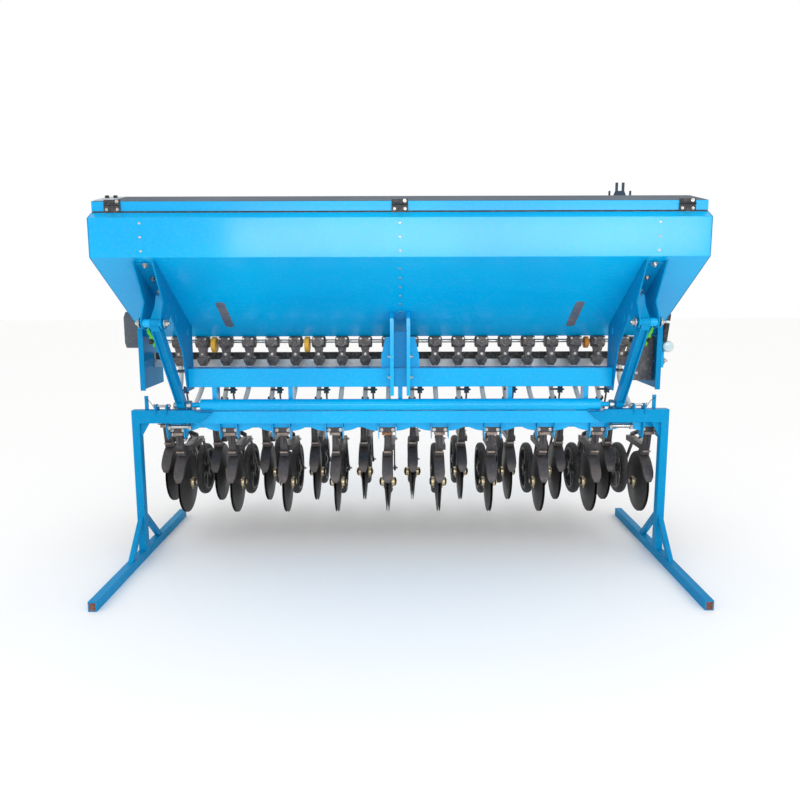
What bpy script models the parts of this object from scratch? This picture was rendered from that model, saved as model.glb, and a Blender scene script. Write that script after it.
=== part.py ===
"""Mounted seed drill with twenty double-disc coulters, on its parking stand.

Metres, +Z up. X runs across the machine, -Y is the tractor side. The origin is on the floor,
at the middle of the machine's box.
"""

import math

import bmesh
import bpy

# Driving dimensions
ROWS = 20
ROW_PITCH = 0.15
METER_PITCH = 0.137
GAP = 0.0003
HALF_WIDTH = 1.5
OVERALL_HALF_WIDTH = 1.60
SHEET = 0.004

# Hopper section, as (y, z) corners of its outer face
BAND_Y = -0.587
BAND_TOP = 1.870
BAND_BOTTOM = 1.682
FLOOR_Z = 1.253
FLOOR_FRONT_Y = 0.092
FLOOR_REAR_Y = 0.240
REAR_TOP_Y = 0.343
REAR_TOP_Z = 1.905
RIM = (-0.531, 1.900)
PLATE_FRONT_Y = -0.021
PLATE_REAR_Y = 0.372
PLATE_FOOT_Z = 0.949
WALL_SLOPE = (BAND_BOTTOM - FLOOR_Z) / (FLOOR_FRONT_Y - BAND_Y)

# Lid
LID_HINGE = (-0.5322, 1.938)
LID_FRONT = (-0.525, 1.954)
LID_LIP_Z = 1.906
LID_FOLD = (-0.291, 2.005)
LID_REAR = (0.356, 2.040)
LID_REAR_LIP_Z = 1.960
PRONG_X = (1.292, 1.330)
STUB_X = (1.250, 1.374)
PRONG_HALF = (0.007, 0.006)
STUB_HALF = 0.005
PRONG_ROOT = 0.010
PRONG_PLATE_HALF = 0.004
PRONG_PLATE_MARGIN = 0.038
PRONG_SHOULDER = (0.031, 0.072)
PRONG_Y = 0.279
PRONG_FOOT_Z = 2.030
PRONG_HEIGHT = 0.120

# Beams: lower beam, pivot tube and upper beam
LOWER_BEAM = ((-0.151, 0.780), (-0.081, 0.850))
UPPER_BEAM = ((-0.121, 0.983), (-0.021, 1.088))
TUBE_Y = -0.136
TUBE_Z = 0.884
TUBE_RADIUS = 0.0335
TUBE_END_X = 1.12
END_PIN_RADIUS = 0.014
END_PIN_X = 1.255
LOWER_BEAM_END = 1.165
UPPER_BEAM_END = 1.19
UPRIGHTS_X = (-1.05, -0.62, 0.0, 0.62, 1.05)
UPRIGHT_Y = (-0.112, -0.035)
UPRIGHT_HALF_WIDTH = 0.0125
REAR_ARM_X = 0.869
REAR_ARM_HALF_WIDTH = 0.025
REAR_ARM_END_Y = 0.210
REAR_ARM_Z = (0.787, 0.840)
WELD_DEPTH = 0.020

# Coulters
HUB_Z = 0.383
FRONT_HUB_Y = 0.063
ROW_STAGGER = 0.236
DISC_RADIUS = 0.1785
SLEEVE_RADIUS = 0.021
SLEEVE_HOLE_RADIUS = 0.026
EYE_RADIUS = 0.040
BLADE_HALF_THICKNESS = 0.001
GUARD_HALF_WIDTH = 0.032
GUARD_GAP = 0.008
GUARD_THICKNESS = 0.016
GUARD_ANGLES = (166, 134, 102)
NECK_HALF_WIDTH = 0.0225
HEAD_Y = -0.071
HEAD_Z = (0.715, 0.745)
HEAD_HALF_WIDTH = 0.045
ARM_THICKNESS = 0.026
ARM_SIDE_X = 0.036
WHEEL_RADIUS = 0.165
WHEEL_TRAIL = 0.390
WHEEL_Z = 0.365
AXLE_RADIUS = 0.008
TURNED_SIDES = 14
CARRIER_Z = (0.735, 0.7797)
CARRIER_HALF_DEPTH = 0.025

# Stand
FOOT_X = (1.458, 1.5)
FOOT_Y = (-0.854, 0.569)
FOOT_HEIGHT = 0.05
POST_X = (1.457, 1.4995)
POST_Y = (-0.181, -0.131)
BRACE_X = (1.466, 1.492)
BRACE_THICKNESS = 0.030
ARM_X = (1.17, 1.47)
ARM_Z = (0.788, 0.861)
EAR_X = (1.30, 1.36)
EAR_CENTRE = (-0.156, 0.858)
EAR_RADIUS = 0.036
EAR_THICKNESS = 0.008

# Tractor links
LINK_PIN = (-0.500, 1.362)
LINK_INNER_X = (1.1905, 1.1985)
LINK_OUTER_X = (1.2865, 1.2945)
LINK_PIN_RADIUS = 0.012
LINK_PIN_X = (1.165, 1.315)
BRACKET_CLEARANCE = 0.002
WEB_THICKNESS = 0.008
STRUT_X = (1.205, 1.250)
STRUT_WIDTH = 0.052
STRUT_EYE_RADIUS = 0.0222
PIN_SLACK = 0.0005

# Headstock
LUG_X = 0.045
LUG_HALF_THICKNESS = 0.010
TIE_PLATE_Y = (-0.090, -0.081)
TIE_PLATE_SIDE = [(0.107, 1.155), (0.082, 1.262), (0.045, 1.262), (0.045, 1.290)]

# Metering housings, seed tray and hoses
FEED_SHAFT = (0.135, 1.222)
FEED_SHAFT_RADIUS = 0.011
FEED_SHAFT_X = (-1.44, 1.3595)
HOUSING_HALF_WIDTH = 0.040
HOUSING_Y = (0.062, 0.160)
HOUSING_BOTTOM = 1.190
FUNNEL_Y = (0.085, 0.135)
OUTLET_Y = 0.110
OUTLET_Z = 1.080
TRAY_Y = (0.222, 0.324)
TRAY_BOTTOM = 1.060
TRAY_FRONT_TOP = 1.150
TRAY_REAR_TOP = 1.100
HOSE_RADIUS = 0.015
HOSE_BEND_Z = 1.030
HOSE_DROP = 0.37
HOSE_END_Z = 0.640
HOLDER_X = 1.36
HOLDER_Y = (0.088, 0.132)
HOLDER_Z = (1.040, 1.048)

# Drive, as (y, z) centres
DRIVE_SHAFT = (0.130, 1.100)
DRIVE_SHAFT_RADIUS = 0.028
SHAFT_HOLE_RADIUS = 0.034
GEARBOX = ((1.360, 0.080, 0.990), (1.490, 0.185, 1.245))

BLUE = ("blue_paint", (0.0, 0.36, 0.80, 1.0), 0.32, 0.1)
SLATE = ("lid_paint", (0.07, 0.10, 0.14, 1.0), 0.3, 0.2)
BLACK = ("black_plastic", (0.03, 0.03, 0.032, 1.0), 0.5, 0.0)
CAST = ("cast_iron", (0.10, 0.09, 0.09, 1.0), 0.55, 0.6)
DISC_STEEL = ("disc_steel", (0.045, 0.043, 0.045, 1.0), 0.45, 0.5)
TYRE = ("tyre_rubber", (0.02, 0.02, 0.02, 1.0), 0.7, 0.0)
HOSE = ("hose_plastic", (0.42, 0.39, 0.34, 1.0), 0.5, 0.0)
ZINC = ("zinc_sheet", (0.45, 0.46, 0.47, 1.0), 0.4, 0.8)


def clear_scene():
    for item in list(bpy.data.objects):
        bpy.data.objects.remove(item, do_unlink=True)


def material_for(finish):
    name, colour, roughness, metallic = finish
    found = bpy.data.materials.get(name)
    if found:
        return found
    made = bpy.data.materials.new(name)
    made.use_nodes = True
    shader = made.node_tree.nodes["Principled BSDF"]
    shader.inputs["Base Color"].default_value = colour
    shader.inputs["Roughness"].default_value = roughness
    shader.inputs["Metallic"].default_value = metallic
    return made


def mesh_from(points, faces):
    """A mesh with its faces turned outwards."""
    shape = bmesh.new()
    corners = [shape.verts.new(point) for point in points]
    for face in faces:
        shape.faces.new([corners[index] for index in face])
    bmesh.ops.recalc_face_normals(shape, faces=shape.faces)
    mesh = bpy.data.meshes.new("shape")
    shape.to_mesh(mesh)
    shape.free()
    return mesh


def prism(outline, low, high, place):
    """An outline carried from low to high; place turns (along, a, b) into a point."""
    count = len(outline)
    points = [place(low, a, b) for a, b in outline] + [place(high, a, b) for a, b in outline]
    faces = [list(range(count)), list(range(count, 2 * count))]
    faces += [[i, (i + 1) % count, count + (i + 1) % count, count + i] for i in range(count)]
    return mesh_from(points, faces)


def prism_x(outline, x_low, x_high):
    """A (y, z) outline carried along X."""
    return prism(outline, x_low, x_high, lambda x, y, z: (x, y, z))


def prism_y(outline, y_low, y_high):
    """An (x, z) outline carried along Y."""
    return prism(outline, y_low, y_high, lambda y, x, z: (x, y, z))


def block(low, high):
    outline = [(low[1], low[2]), (high[1], low[2]), (high[1], high[2]), (low[1], high[2])]
    return prism_x(outline, low[0], high[0])


def strip(start, end, thickness):
    """Four corners of a straight bar between two (y, z) points."""
    run_y = end[0] - start[0]
    run_z = end[1] - start[1]
    length = math.hypot(run_y, run_z)
    across_y = -run_z / length * thickness / 2
    across_z = run_y / length * thickness / 2
    return [
        (start[0] + across_y, start[1] + across_z),
        (end[0] + across_y, end[1] + across_z),
        (end[0] - across_y, end[1] - across_z),
        (start[0] - across_y, start[1] - across_z),
    ]


def circle(centre, radius, sides, start=0.0):
    step = 2 * math.pi / sides
    return [
        (centre[0] + radius * math.cos(start + i * step), centre[1] + radius * math.sin(start + i * step))
        for i in range(sides)
    ]


def rod_x(centre, radius, x_low, x_high, sides=12):
    return prism_x(circle(centre, radius, sides), x_low, x_high)


def turned_x(profile, sides, closed):
    """A profile of (x, radius) points turned about the X axis. A radius of 0 is one point."""
    points = []
    rings = []
    for x, radius in profile:
        if radius == 0:
            rings.append([len(points)])
            points.append((x, 0.0, 0.0))
            continue
        rings.append(list(range(len(points), len(points) + sides)))
        points += [(x, y, z) for y, z in circle((0.0, 0.0), radius, sides)]
    faces = []
    pairs = list(zip(rings, rings[1:] + rings[:1])) if closed else list(zip(rings, rings[1:]))
    for near, far in pairs:
        for i in range(sides):
            j = (i + 1) % sides
            if len(near) == 1:
                faces.append([near[0], far[i], far[j]])
            elif len(far) == 1:
                faces.append([near[i], near[j], far[0]])
            else:
                faces.append([near[i], near[j], far[j], far[i]])
    return mesh_from(points, faces)


def hose_between(points, radius, sides=6):
    """A tube whose rings lie level, through a list of points that runs downwards."""
    rings = []
    corners = []
    for x, y, z in points:
        rings.append(list(range(len(corners), len(corners) + sides)))
        corners += [(a, b, z) for a, b in circle((x, y), radius, sides)]
    faces = [rings[0], rings[-1]]
    for near, far in zip(rings, rings[1:]):
        faces += [[near[i], near[(i + 1) % sides], far[(i + 1) % sides], far[i]] for i in range(sides)]
    return mesh_from(corners, faces)


def place_mesh(name, mesh, finish, origin=(0.0, 0.0, 0.0)):
    """One named object; a moving one has its origin on its axis."""
    made = bpy.data.objects.new(name, mesh)
    made.location = origin
    bpy.context.scene.collection.objects.link(made)
    mesh.name = name
    if not mesh.materials:
        mesh.materials.append(material_for(finish))
    mesh.shade_smooth()
    mesh.set_sharp_from_angle(angle=math.radians(35))
    return made


def combined(shapes, operation="UNION"):
    """The first mesh joined with, or cut by, all the others."""
    group = bpy.data.collections.new("operands")
    helpers = []
    for shape in shapes[1:]:
        helper = bpy.data.objects.new("helper", shape)
        group.objects.link(helper)
        helpers.append(helper)
    base = bpy.data.objects.new("base", shapes[0])
    bpy.context.scene.collection.objects.link(base)
    bpy.context.scene.collection.children.link(group)
    boolean = base.modifiers.new("join", "BOOLEAN")
    boolean.operation = operation
    boolean.operand_type = "COLLECTION"
    boolean.collection = group
    bpy.context.view_layer.update()
    graph = bpy.context.evaluated_depsgraph_get()
    result = bpy.data.meshes.new_from_object(base.evaluated_get(graph))
    result.materials.clear()
    for helper in helpers + [base]:
        bpy.data.objects.remove(helper, do_unlink=True)
    bpy.data.collections.remove(group)
    return result


def side_span(side, low, high):
    """The X span of a piece on the left (-1) or right (+1) side."""
    return (side * low, side * high) if side > 0 else (side * high, side * low)


def wall_z(y):
    """Height of the hopper's sloping front wall, at its outer face."""
    return BAND_BOTTOM - WALL_SLOPE * (y - BAND_Y)


def row_x(index):
    return (index - (ROWS - 1) / 2) * ROW_PITCH


def row_shift(index):
    """Even rows stand in the rear rank."""
    return ROW_STAGGER if index % 2 == 0 else 0.0


def build_stand(side):
    """Square-tube foot, post with two braces, and the arm that reaches in under the beam."""
    foot_x = side_span(side, *FOOT_X)
    post_x = side_span(side, *POST_X)
    arm_x = side_span(side, *ARM_X)
    brace_x = side_span(side, *BRACE_X)
    weld_z = FOOT_HEIGHT - 0.010
    foot = block((foot_x[0], FOOT_Y[0], 0.0), (foot_x[1], FOOT_Y[1], FOOT_HEIGHT))
    post = block((post_x[0], POST_Y[0], weld_z), (post_x[1], POST_Y[1], ARM_Z[1]))
    front_brace = prism_x(strip((-0.150, 0.262), (-0.370, 0.030), BRACE_THICKNESS), *brace_x)
    rear_brace = prism_x(strip((-0.150, 0.266), (0.110, 0.026), BRACE_THICKNESS), *brace_x)
    arm = block((arm_x[0], POST_Y[0], ARM_Z[0]), (arm_x[1], POST_Y[1], ARM_Z[1]))
    lap_outline = [(1.05, 0.848), (1.12, 0.79), (1.26, 0.79), (1.26, 0.86), (1.15, 0.86), (1.13, 0.849)]
    lap = prism_y([(side * x, z) for x, z in lap_outline], POST_Y[0], LOWER_BEAM[0][0] - GAP)
    gusset_outline = [(1.46, 0.80), (1.40, 0.80), (1.46, 0.70)]
    gusset = prism_y([(side * x, z) for x, z in gusset_outline], -0.162, -0.154)
    ear_outline = circle(EAR_CENTRE, EAR_RADIUS, 12)
    ears = [prism_x(ear_outline, *side_span(side, x, x + EAR_THICKNESS)) for x in EAR_X]
    pieces = [foot, post, front_brace, rear_brace, arm, lap, gusset] + ears
    name = "stand_right" if side > 0 else "stand_left"
    place_mesh(name, combined(pieces), BLUE)


def build_toolbar():
    """Lower beam with the pivot tube, the uprights to the upper beam and two arms to the rear rank."""
    (front, bottom), (rear, top) = LOWER_BEAM
    pieces = [
        block((-LOWER_BEAM_END, front, bottom), (LOWER_BEAM_END, rear, top)),
        rod_x((TUBE_Y, TUBE_Z), TUBE_RADIUS, -TUBE_END_X, TUBE_END_X, 16),
        rod_x((TUBE_Y, TUBE_Z), END_PIN_RADIUS, -END_PIN_X, END_PIN_X, 12),
    ]
    for x in UPRIGHTS_X:
        low = (x - UPRIGHT_HALF_WIDTH, UPRIGHT_Y[0], top - WELD_DEPTH)
        high = (x + UPRIGHT_HALF_WIDTH, UPRIGHT_Y[1], UPPER_BEAM[0][1] - GAP)
        pieces.append(block(low, high))
    for x in (-REAR_ARM_X, REAR_ARM_X):
        low = (x - REAR_ARM_HALF_WIDTH, rear - WELD_DEPTH, REAR_ARM_Z[0])
        high = (x + REAR_ARM_HALF_WIDTH, REAR_ARM_END_Y, REAR_ARM_Z[1])
        pieces.append(block(low, high))
    place_mesh("toolbar", combined(pieces), BLUE)


def build_upper_beam():
    (front, bottom), (rear, top) = UPPER_BEAM
    place_mesh("upper_beam", block((-UPPER_BEAM_END, front, bottom), (UPPER_BEAM_END, rear, top)), BLUE)


def build_hopper():
    """Bent-sheet trough, open at the top, between its two side plates."""
    outer = [
        RIM, (BAND_Y, BAND_TOP), (BAND_Y, BAND_BOTTOM), (FLOOR_FRONT_Y, FLOOR_Z),
        (FLOOR_REAR_Y, FLOOR_Z), (REAR_TOP_Y, REAR_TOP_Z),
    ]
    inner = [
        (REAR_TOP_Y - SHEET, REAR_TOP_Z), (FLOOR_REAR_Y - SHEET, FLOOR_Z + SHEET),
        (FLOOR_FRONT_Y + 0.002, FLOOR_Z + SHEET), (BAND_Y + SHEET, BAND_BOTTOM + SHEET),
        (BAND_Y + SHEET, BAND_TOP - 0.003), (RIM[0], RIM[1] - 0.0045),
    ]
    end = HALF_WIDTH - SHEET - GAP
    place_mesh("hopper", prism_x(outer + inner, -end, end), BLUE)


def build_hopper_side(side):
    """End plate of the hopper, which runs down past it, with a turned-in front edge."""
    outline = [
        (BAND_Y, BAND_TOP), (BAND_Y, BAND_BOTTOM), (PLATE_FRONT_Y, wall_z(PLATE_FRONT_Y)),
        (PLATE_FRONT_Y, PLATE_FOOT_Z), (PLATE_REAR_Y, PLATE_FOOT_Z), (PLATE_REAR_Y, FLOOR_Z),
        (REAR_TOP_Y + 0.002, REAR_TOP_Z), RIM,
    ]
    plate = prism_x(outline, *side_span(side, HALF_WIDTH - SHEET, HALF_WIDTH))
    edge_x = side_span(side, 1.470, HALF_WIDTH - 0.001)
    edge_rear_y = PLATE_FRONT_Y + SHEET
    edge_top = wall_z(edge_rear_y) - 0.002
    edge = block((edge_x[0], PLATE_FRONT_Y, PLATE_FOOT_Z), (edge_x[1], edge_rear_y, edge_top))
    solid = combined([plate, edge])
    if side > 0:
        hole = rod_x(DRIVE_SHAFT, SHAFT_HOLE_RADIUS, HALF_WIDTH - 0.05, HALF_WIDTH + 0.05, 16)
        solid = combined([solid, hole], "DIFFERENCE")
    place_mesh("hopper_side_right" if side > 0 else "hopper_side_left", solid, BLUE)


def build_lid():
    """Folded sheet lid with front and rear lips, hinged along its front edge."""
    hinge_y, hinge_z = LID_HINGE
    front_y, front_z = LID_FRONT
    rear_y, rear_z = LID_REAR
    outer = [
        (front_y + SHEET, LID_LIP_Z), (front_y, LID_LIP_Z), LID_FRONT, LID_FOLD, LID_REAR,
        (rear_y, LID_REAR_LIP_Z),
    ]
    inner = [
        (rear_y - SHEET, LID_REAR_LIP_Z), (rear_y - SHEET, rear_z - SHEET),
        (LID_FOLD[0], LID_FOLD[1] - SHEET), (front_y + SHEET, front_z - 0.003),
    ]
    sheet = prism_x([(y - hinge_y, z - hinge_z) for y, z in outer + inner], -HALF_WIDTH, HALF_WIDTH)
    base_y = PRONG_Y - hinge_y
    base_z = PRONG_FOOT_Z - hinge_z
    shoulder, shoulder_height = PRONG_SHOULDER
    shoulder_z = base_z + shoulder_height
    left, right = PRONG_X[0] - PRONG_PLATE_MARGIN, PRONG_X[1] + PRONG_PLATE_MARGIN
    bracket_outline = [
        (left, base_z), (right, base_z), (right - shoulder, shoulder_z), (left + shoulder, shoulder_z),
    ]
    bracket = prism_y(bracket_outline, base_y - PRONG_PLATE_HALF, base_y + PRONG_PLATE_HALF)
    half_x, half_y = PRONG_HALF
    uprights = [(x, half_x, base_z + PRONG_HEIGHT) for x in PRONG_X]
    uprights += [(x, STUB_HALF, shoulder_z) for x in STUB_X]
    pieces = [sheet, bracket]
    for x, half, top in uprights:
        low = (x - half, base_y - half_y, base_z - PRONG_ROOT)
        pieces.append(block(low, (x + half, base_y + half_y, top)))
    place_mesh("lid", combined(pieces), SLATE, (0.0, hinge_y, hinge_z))


def build_link_bracket(side):
    """Channel bracket under the hopper wall: two flanges, a web on the wall, and the link pin."""
    def under_wall(y, drop=BRACKET_CLEARANCE):
        return (y, wall_z(y) - drop)

    flange_front = [
        (-0.600, 1.668), (-0.470, 1.464), (-0.530, 1.376), (-0.515, 1.335), (-0.455, 1.328),
    ]
    inner_outline = flange_front + [
        (-0.360, 1.400), (-0.190, 1.190), (-0.130, 0.960), (-0.010, 0.960), under_wall(-0.010),
        under_wall(-0.556),
    ]
    outer_outline = flange_front + [(-0.330, 1.440), under_wall(-0.300), under_wall(-0.556)]
    web_drop = BRACKET_CLEARANCE + WEB_THICKNESS
    web_outline = [
        under_wall(-0.553), under_wall(-0.310), under_wall(-0.310, web_drop), under_wall(-0.553, web_drop),
    ]
    web_x = side_span(side, LINK_INNER_X[1] - 0.002, LINK_OUTER_X[0] + 0.002)
    pieces = [
        prism_x(inner_outline, *side_span(side, *LINK_INNER_X)),
        prism_x(outer_outline, *side_span(side, *LINK_OUTER_X)),
        prism_x(web_outline, *web_x),
        rod_x(LINK_PIN, LINK_PIN_RADIUS, *side_span(side, *LINK_PIN_X)),
    ]
    place_mesh("link_bracket_right" if side > 0 else "link_bracket_left", combined(pieces), BLUE)


def build_strut(side):
    """Slanting bar from the link pin down to the pivot tube's end pin, with an eye at each end."""
    x_low, x_high = side_span(side, *STRUT_X)
    foot = (TUBE_Y, TUBE_Z)
    body = prism_x(strip(LINK_PIN, foot, STRUT_WIDTH), x_low, x_high)
    ends = [rod_x(point, STRUT_EYE_RADIUS, x_low, x_high, 16) for point in (LINK_PIN, foot)]
    solid = combined([body] + ends)
    past = 0.1
    pins = ((LINK_PIN, LINK_PIN_RADIUS), (foot, END_PIN_RADIUS))
    holes = [rod_x(point, radius + PIN_SLACK, x_low - past, x_high + past, 12) for point, radius in pins]
    solid = combined([solid] + holes, "DIFFERENCE")
    place_mesh("strut_right" if side > 0 else "strut_left", solid, BLUE)


def build_headstock():
    """Two top-link lugs on the upper beam, tied by a shaped plate."""
    beam_front = UPPER_BEAM[0][0] - 0.001
    beam_top = UPPER_BEAM[1][1] + 0.0005
    clear = 0.002
    lug = [
        (-0.150, wall_z(-0.150) - clear), (-0.205, 1.370), (-0.221, 1.150), (-0.195, 0.943),
        (beam_front, 0.943), (beam_front, beam_top), (-0.080, beam_top), (-0.080, wall_z(-0.080) - clear),
    ]
    plate_side = [(TIE_PLATE_SIDE[0][0], beam_top)] + TIE_PLATE_SIDE
    plate = plate_side + [(-x, z) for x, z in reversed(plate_side)]
    pieces = [prism_x(lug, x - LUG_HALF_THICKNESS, x + LUG_HALF_THICKNESS) for x in (-LUG_X, LUG_X)]
    pieces.append(prism_y(plate, *TIE_PLATE_Y))
    place_mesh("headstock", combined(pieces), BLUE)


def meter_x(index):
    return (index - (ROWS - 1) / 2) * METER_PITCH


def build_metering_row():
    """Metering housings under the hopper floor, strung on the feed shaft."""
    pieces = [rod_x(FEED_SHAFT, FEED_SHAFT_RADIUS, *FEED_SHAFT_X, 8)]
    funnel_right = [(0.016, OUTLET_Z), (0.025, 1.130), (0.032, 1.20)]
    funnel_left = [(-x, z) for x, z in reversed(funnel_right)]
    for index in range(ROWS):
        x = meter_x(index)
        low = (x - HOUSING_HALF_WIDTH, HOUSING_Y[0], HOUSING_BOTTOM)
        high = (x + HOUSING_HALF_WIDTH, HOUSING_Y[1], FLOOR_Z - GAP)
        pieces.append(block(low, high))
        funnel = [(x + across, z) for across, z in funnel_left + funnel_right]
        pieces.append(prism_y(funnel, *FUNNEL_Y))
    place_mesh("metering_row", combined(pieces), CAST)


def build_seed_tray():
    """Zinc-plated calibration tray hung behind the housings, between the side plates."""
    front, rear = TRAY_Y
    floor_z = TRAY_BOTTOM + SHEET
    outline = [
        (front, TRAY_FRONT_TOP), (front + SHEET, TRAY_FRONT_TOP), (front + SHEET, floor_z),
        (rear - SHEET, floor_z), (rear - SHEET, TRAY_REAR_TOP), (rear, TRAY_REAR_TOP), (rear, TRAY_BOTTOM),
        (front, TRAY_BOTTOM),
    ]
    end = HALF_WIDTH - SHEET - GAP
    place_mesh("seed_tray", prism_x(outline, -end, end), ZINC)


def build_seed_hoses():
    """One hose from each housing to its coulter, all held by a perforated bar."""
    pieces = [block((-HOLDER_X, HOLDER_Y[0], HOLDER_Z[0]), (HOLDER_X, HOLDER_Y[1], HOLDER_Z[1]))]
    for index in range(ROWS):
        top_x = meter_x(index)
        low_x = row_x(index)
        low_y = FRONT_HUB_Y - 0.040 + row_shift(index)
        points = [(top_x, OUTLET_Y, OUTLET_Z - 0.0005), (top_x, OUTLET_Y, HOSE_BEND_Z)]
        for share in (0.35, 0.7):
            ease = share * share * (3 - 2 * share)
            x = top_x + (low_x - top_x) * ease
            y = OUTLET_Y + (low_y - OUTLET_Y) * ease
            points.append((x, y, HOSE_BEND_Z - share * HOSE_DROP))
        points.append((low_x, low_y, HOSE_END_Z))
        pieces.append(hose_between(points, HOSE_RADIUS))
    place_mesh("seed_hoses", combined(pieces), HOSE)


def guard_outline(hub_y):
    """Curved guard in front of the discs, as three-point arcs round the hub."""
    outline = []
    inner_radius = DISC_RADIUS + GUARD_GAP
    outer_radius = inner_radius + GUARD_THICKNESS
    for radius, angles in ((inner_radius, GUARD_ANGLES), (outer_radius, GUARD_ANGLES[::-1])):
        for angle in map(math.radians, angles):
            outline.append((hub_y + radius * math.cos(angle), HUB_Z + radius * math.sin(angle)))
    return outline


def seed_boot(x, hub_y):
    """Wedge between the discs, hung from the eye: thick at its top and thin at its tip."""
    ends = ((-0.030, -0.030, 0.030, 0.0085), (-0.148, -0.035, 0.005, 0.0025))
    points = []
    for z, y_front, y_rear, half in ends:
        for across, y in ((-half, y_front), (half, y_front), (half, y_rear), (-half, y_rear)):
            points.append((x + across, hub_y + y, HUB_Z + z))
    faces = [(0, 1, 2, 3), (4, 5, 6, 7)] + [(i, (i + 1) % 4, (i + 1) % 4 + 4, i + 4) for i in range(4)]
    return mesh_from(points, faces)


def coulter_shapes(x, shift):
    """Neck, curved guard, blade and boot between the discs, and the trailing arm with its axle."""
    hub_y = FRONT_HUB_Y + shift
    head_y = HEAD_Y + shift
    neck = [(head_y - 0.016, 0.740), (head_y + 0.016, 0.740), (hub_y - 0.030, 0.578), (hub_y - 0.100, 0.545)]
    blade = [
        (hub_y - 0.100, 0.560), (hub_y - 0.020, 0.590), (hub_y + 0.024, HUB_Z + 0.010),
        (hub_y, HUB_Z + 0.034), (hub_y - 0.024, HUB_Z + 0.010),
    ]
    arm_z = 0.610
    wheel_y = hub_y + WHEEL_TRAIL
    side_x = x + ARM_SIDE_X
    arm = strip((hub_y - 0.045, 0.596), (hub_y + 0.225, arm_z), ARM_THICKNESS)
    drop = strip((hub_y + 0.212, arm_z + 0.006), (wheel_y, WHEEL_Z), ARM_THICKNESS)
    blade_x = (x - BLADE_HALF_THICKNESS, x + BLADE_HALF_THICKNESS)
    head_low = (x - HEAD_HALF_WIDTH, head_y - 0.020, HEAD_Z[0])
    head_high = (x + HEAD_HALF_WIDTH, head_y + 0.020, HEAD_Z[1])
    return [
        prism_x(guard_outline(hub_y), x - GUARD_HALF_WIDTH, x + GUARD_HALF_WIDTH),
        prism_x(neck, x - NECK_HALF_WIDTH, x + NECK_HALF_WIDTH),
        prism_x(blade, *blade_x),
        rod_x((hub_y, HUB_Z), EYE_RADIUS, *blade_x, 10),
        seed_boot(x, hub_y),
        prism_x(arm, x - 0.010, side_x + 0.006),
        prism_x(drop, side_x - 0.004, side_x + 0.006),
        rod_x((wheel_y, WHEEL_Z), AXLE_RADIUS, x - 0.028, side_x + 0.003, 6),
        block(head_low, head_high),
    ]


def build_coulter_rank(name, first, shift, bar_ends):
    """One rank of coulter frames on the bar that carries them."""
    bar_front = HEAD_Y + shift - CARRIER_HALF_DEPTH
    bar_rear = HEAD_Y + shift + CARRIER_HALF_DEPTH
    pieces = [block((bar_ends[0], bar_front, CARRIER_Z[0]), (bar_ends[1], bar_rear, CARRIER_Z[1]))]
    holes = []
    hub = (FRONT_HUB_Y + shift, HUB_Z)
    for index in range(first, ROWS, 2):
        x = row_x(index)
        pieces += coulter_shapes(x, shift)
        holes.append(rod_x(hub, SLEEVE_HOLE_RADIUS, x - 0.020, x + 0.020, 10))
    solid = combined([combined(pieces)] + holes, "DIFFERENCE")
    place_mesh(name, solid, CAST)


def both_sides(half):
    """A half profile of (x, radius) points, with its mirror image before it."""
    return [(-x, radius) for x, radius in half] + [(x, radius) for x, radius in reversed(half)]


def build_discs():
    """Each double disc: two dished discs with hub caps on one turning sleeve."""
    half = [
        (0.054, 0.0), (0.047, 0.030), (0.0235, 0.038), (0.0075, DISC_RADIUS), (0.0060, DISC_RADIUS),
        (0.0180, SLEEVE_RADIUS),
    ]
    shared = turned_x(both_sides(half), TURNED_SIDES, False)
    for index in range(ROWS):
        centre = (row_x(index), FRONT_HUB_Y + row_shift(index), HUB_Z)
        place_mesh(f"disc_{index + 1:02d}", shared, DISC_STEEL, centre)


def build_press_wheels():
    """Closing wheels, each free on its own axle."""
    bore = AXLE_RADIUS + 0.001
    half = [(0.020, bore), (0.025, 0.150), (0.010, WHEEL_RADIUS)]
    shared = turned_x(both_sides(half), TURNED_SIDES, True)
    for index in range(ROWS):
        centre_y = FRONT_HUB_Y + row_shift(index) + WHEEL_TRAIL
        place_mesh(f"press_wheel_{index + 1:02d}", shared, TYRE, (row_x(index), centre_y, WHEEL_Z))


def build_drive_gearbox():
    """Gearbox inside the right end plate, its shaft through the plate, and the parts outside it."""
    shaft_x = (GEARBOX[1][0] - 0.010, 1.585)
    bracket = block((1.5065, 0.100, 1.060), (1.560, 0.160, 1.230))
    canister_foot = block((1.530, 0.095, 1.160), (1.580, 0.150, 1.270))
    canister_top = block((1.545, 0.095, 1.260), (OVERALL_HALF_WIDTH - 0.002, 0.150, 1.390))
    glass = prism_y(circle((1.567, 1.190), 0.033, 14), 0.060, 0.105)
    shaft = rod_x(DRIVE_SHAFT, DRIVE_SHAFT_RADIUS, *shaft_x, 12)
    pieces = [block(*GEARBOX), shaft, bracket, canister_foot, canister_top, glass]
    place_mesh("drive_gearbox", combined(pieces), BLACK)


def build_chain_case():
    """Closed drive case on the outside of the left end plate."""
    outline = [
        (0.04, 1.22), (0.06, 1.19), (0.24, 1.19), (0.27, 1.22), (0.27, 1.37), (0.24, 1.40), (0.07, 1.40),
        (0.04, 1.37),
    ]
    place_mesh("chain_case", prism_x(outline, -OVERALL_HALF_WIDTH, -HALF_WIDTH - GAP), BLACK)


clear_scene()
for side_sign in (-1, 1):
    build_stand(side_sign)
    build_hopper_side(side_sign)
    build_link_bracket(side_sign)
    build_strut(side_sign)
build_toolbar()
build_upper_beam()
build_hopper()
build_lid()
build_headstock()
build_metering_row()
build_seed_tray()
build_seed_hoses()
build_coulter_rank("coulters_front", 1, 0.0, (-1.33, 1.445))
build_coulter_rank("coulters_rear", 0, ROW_STAGGER, (-1.47, 1.33))
build_discs()
build_press_wheels()
build_drive_gearbox()
build_chain_case()
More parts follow.
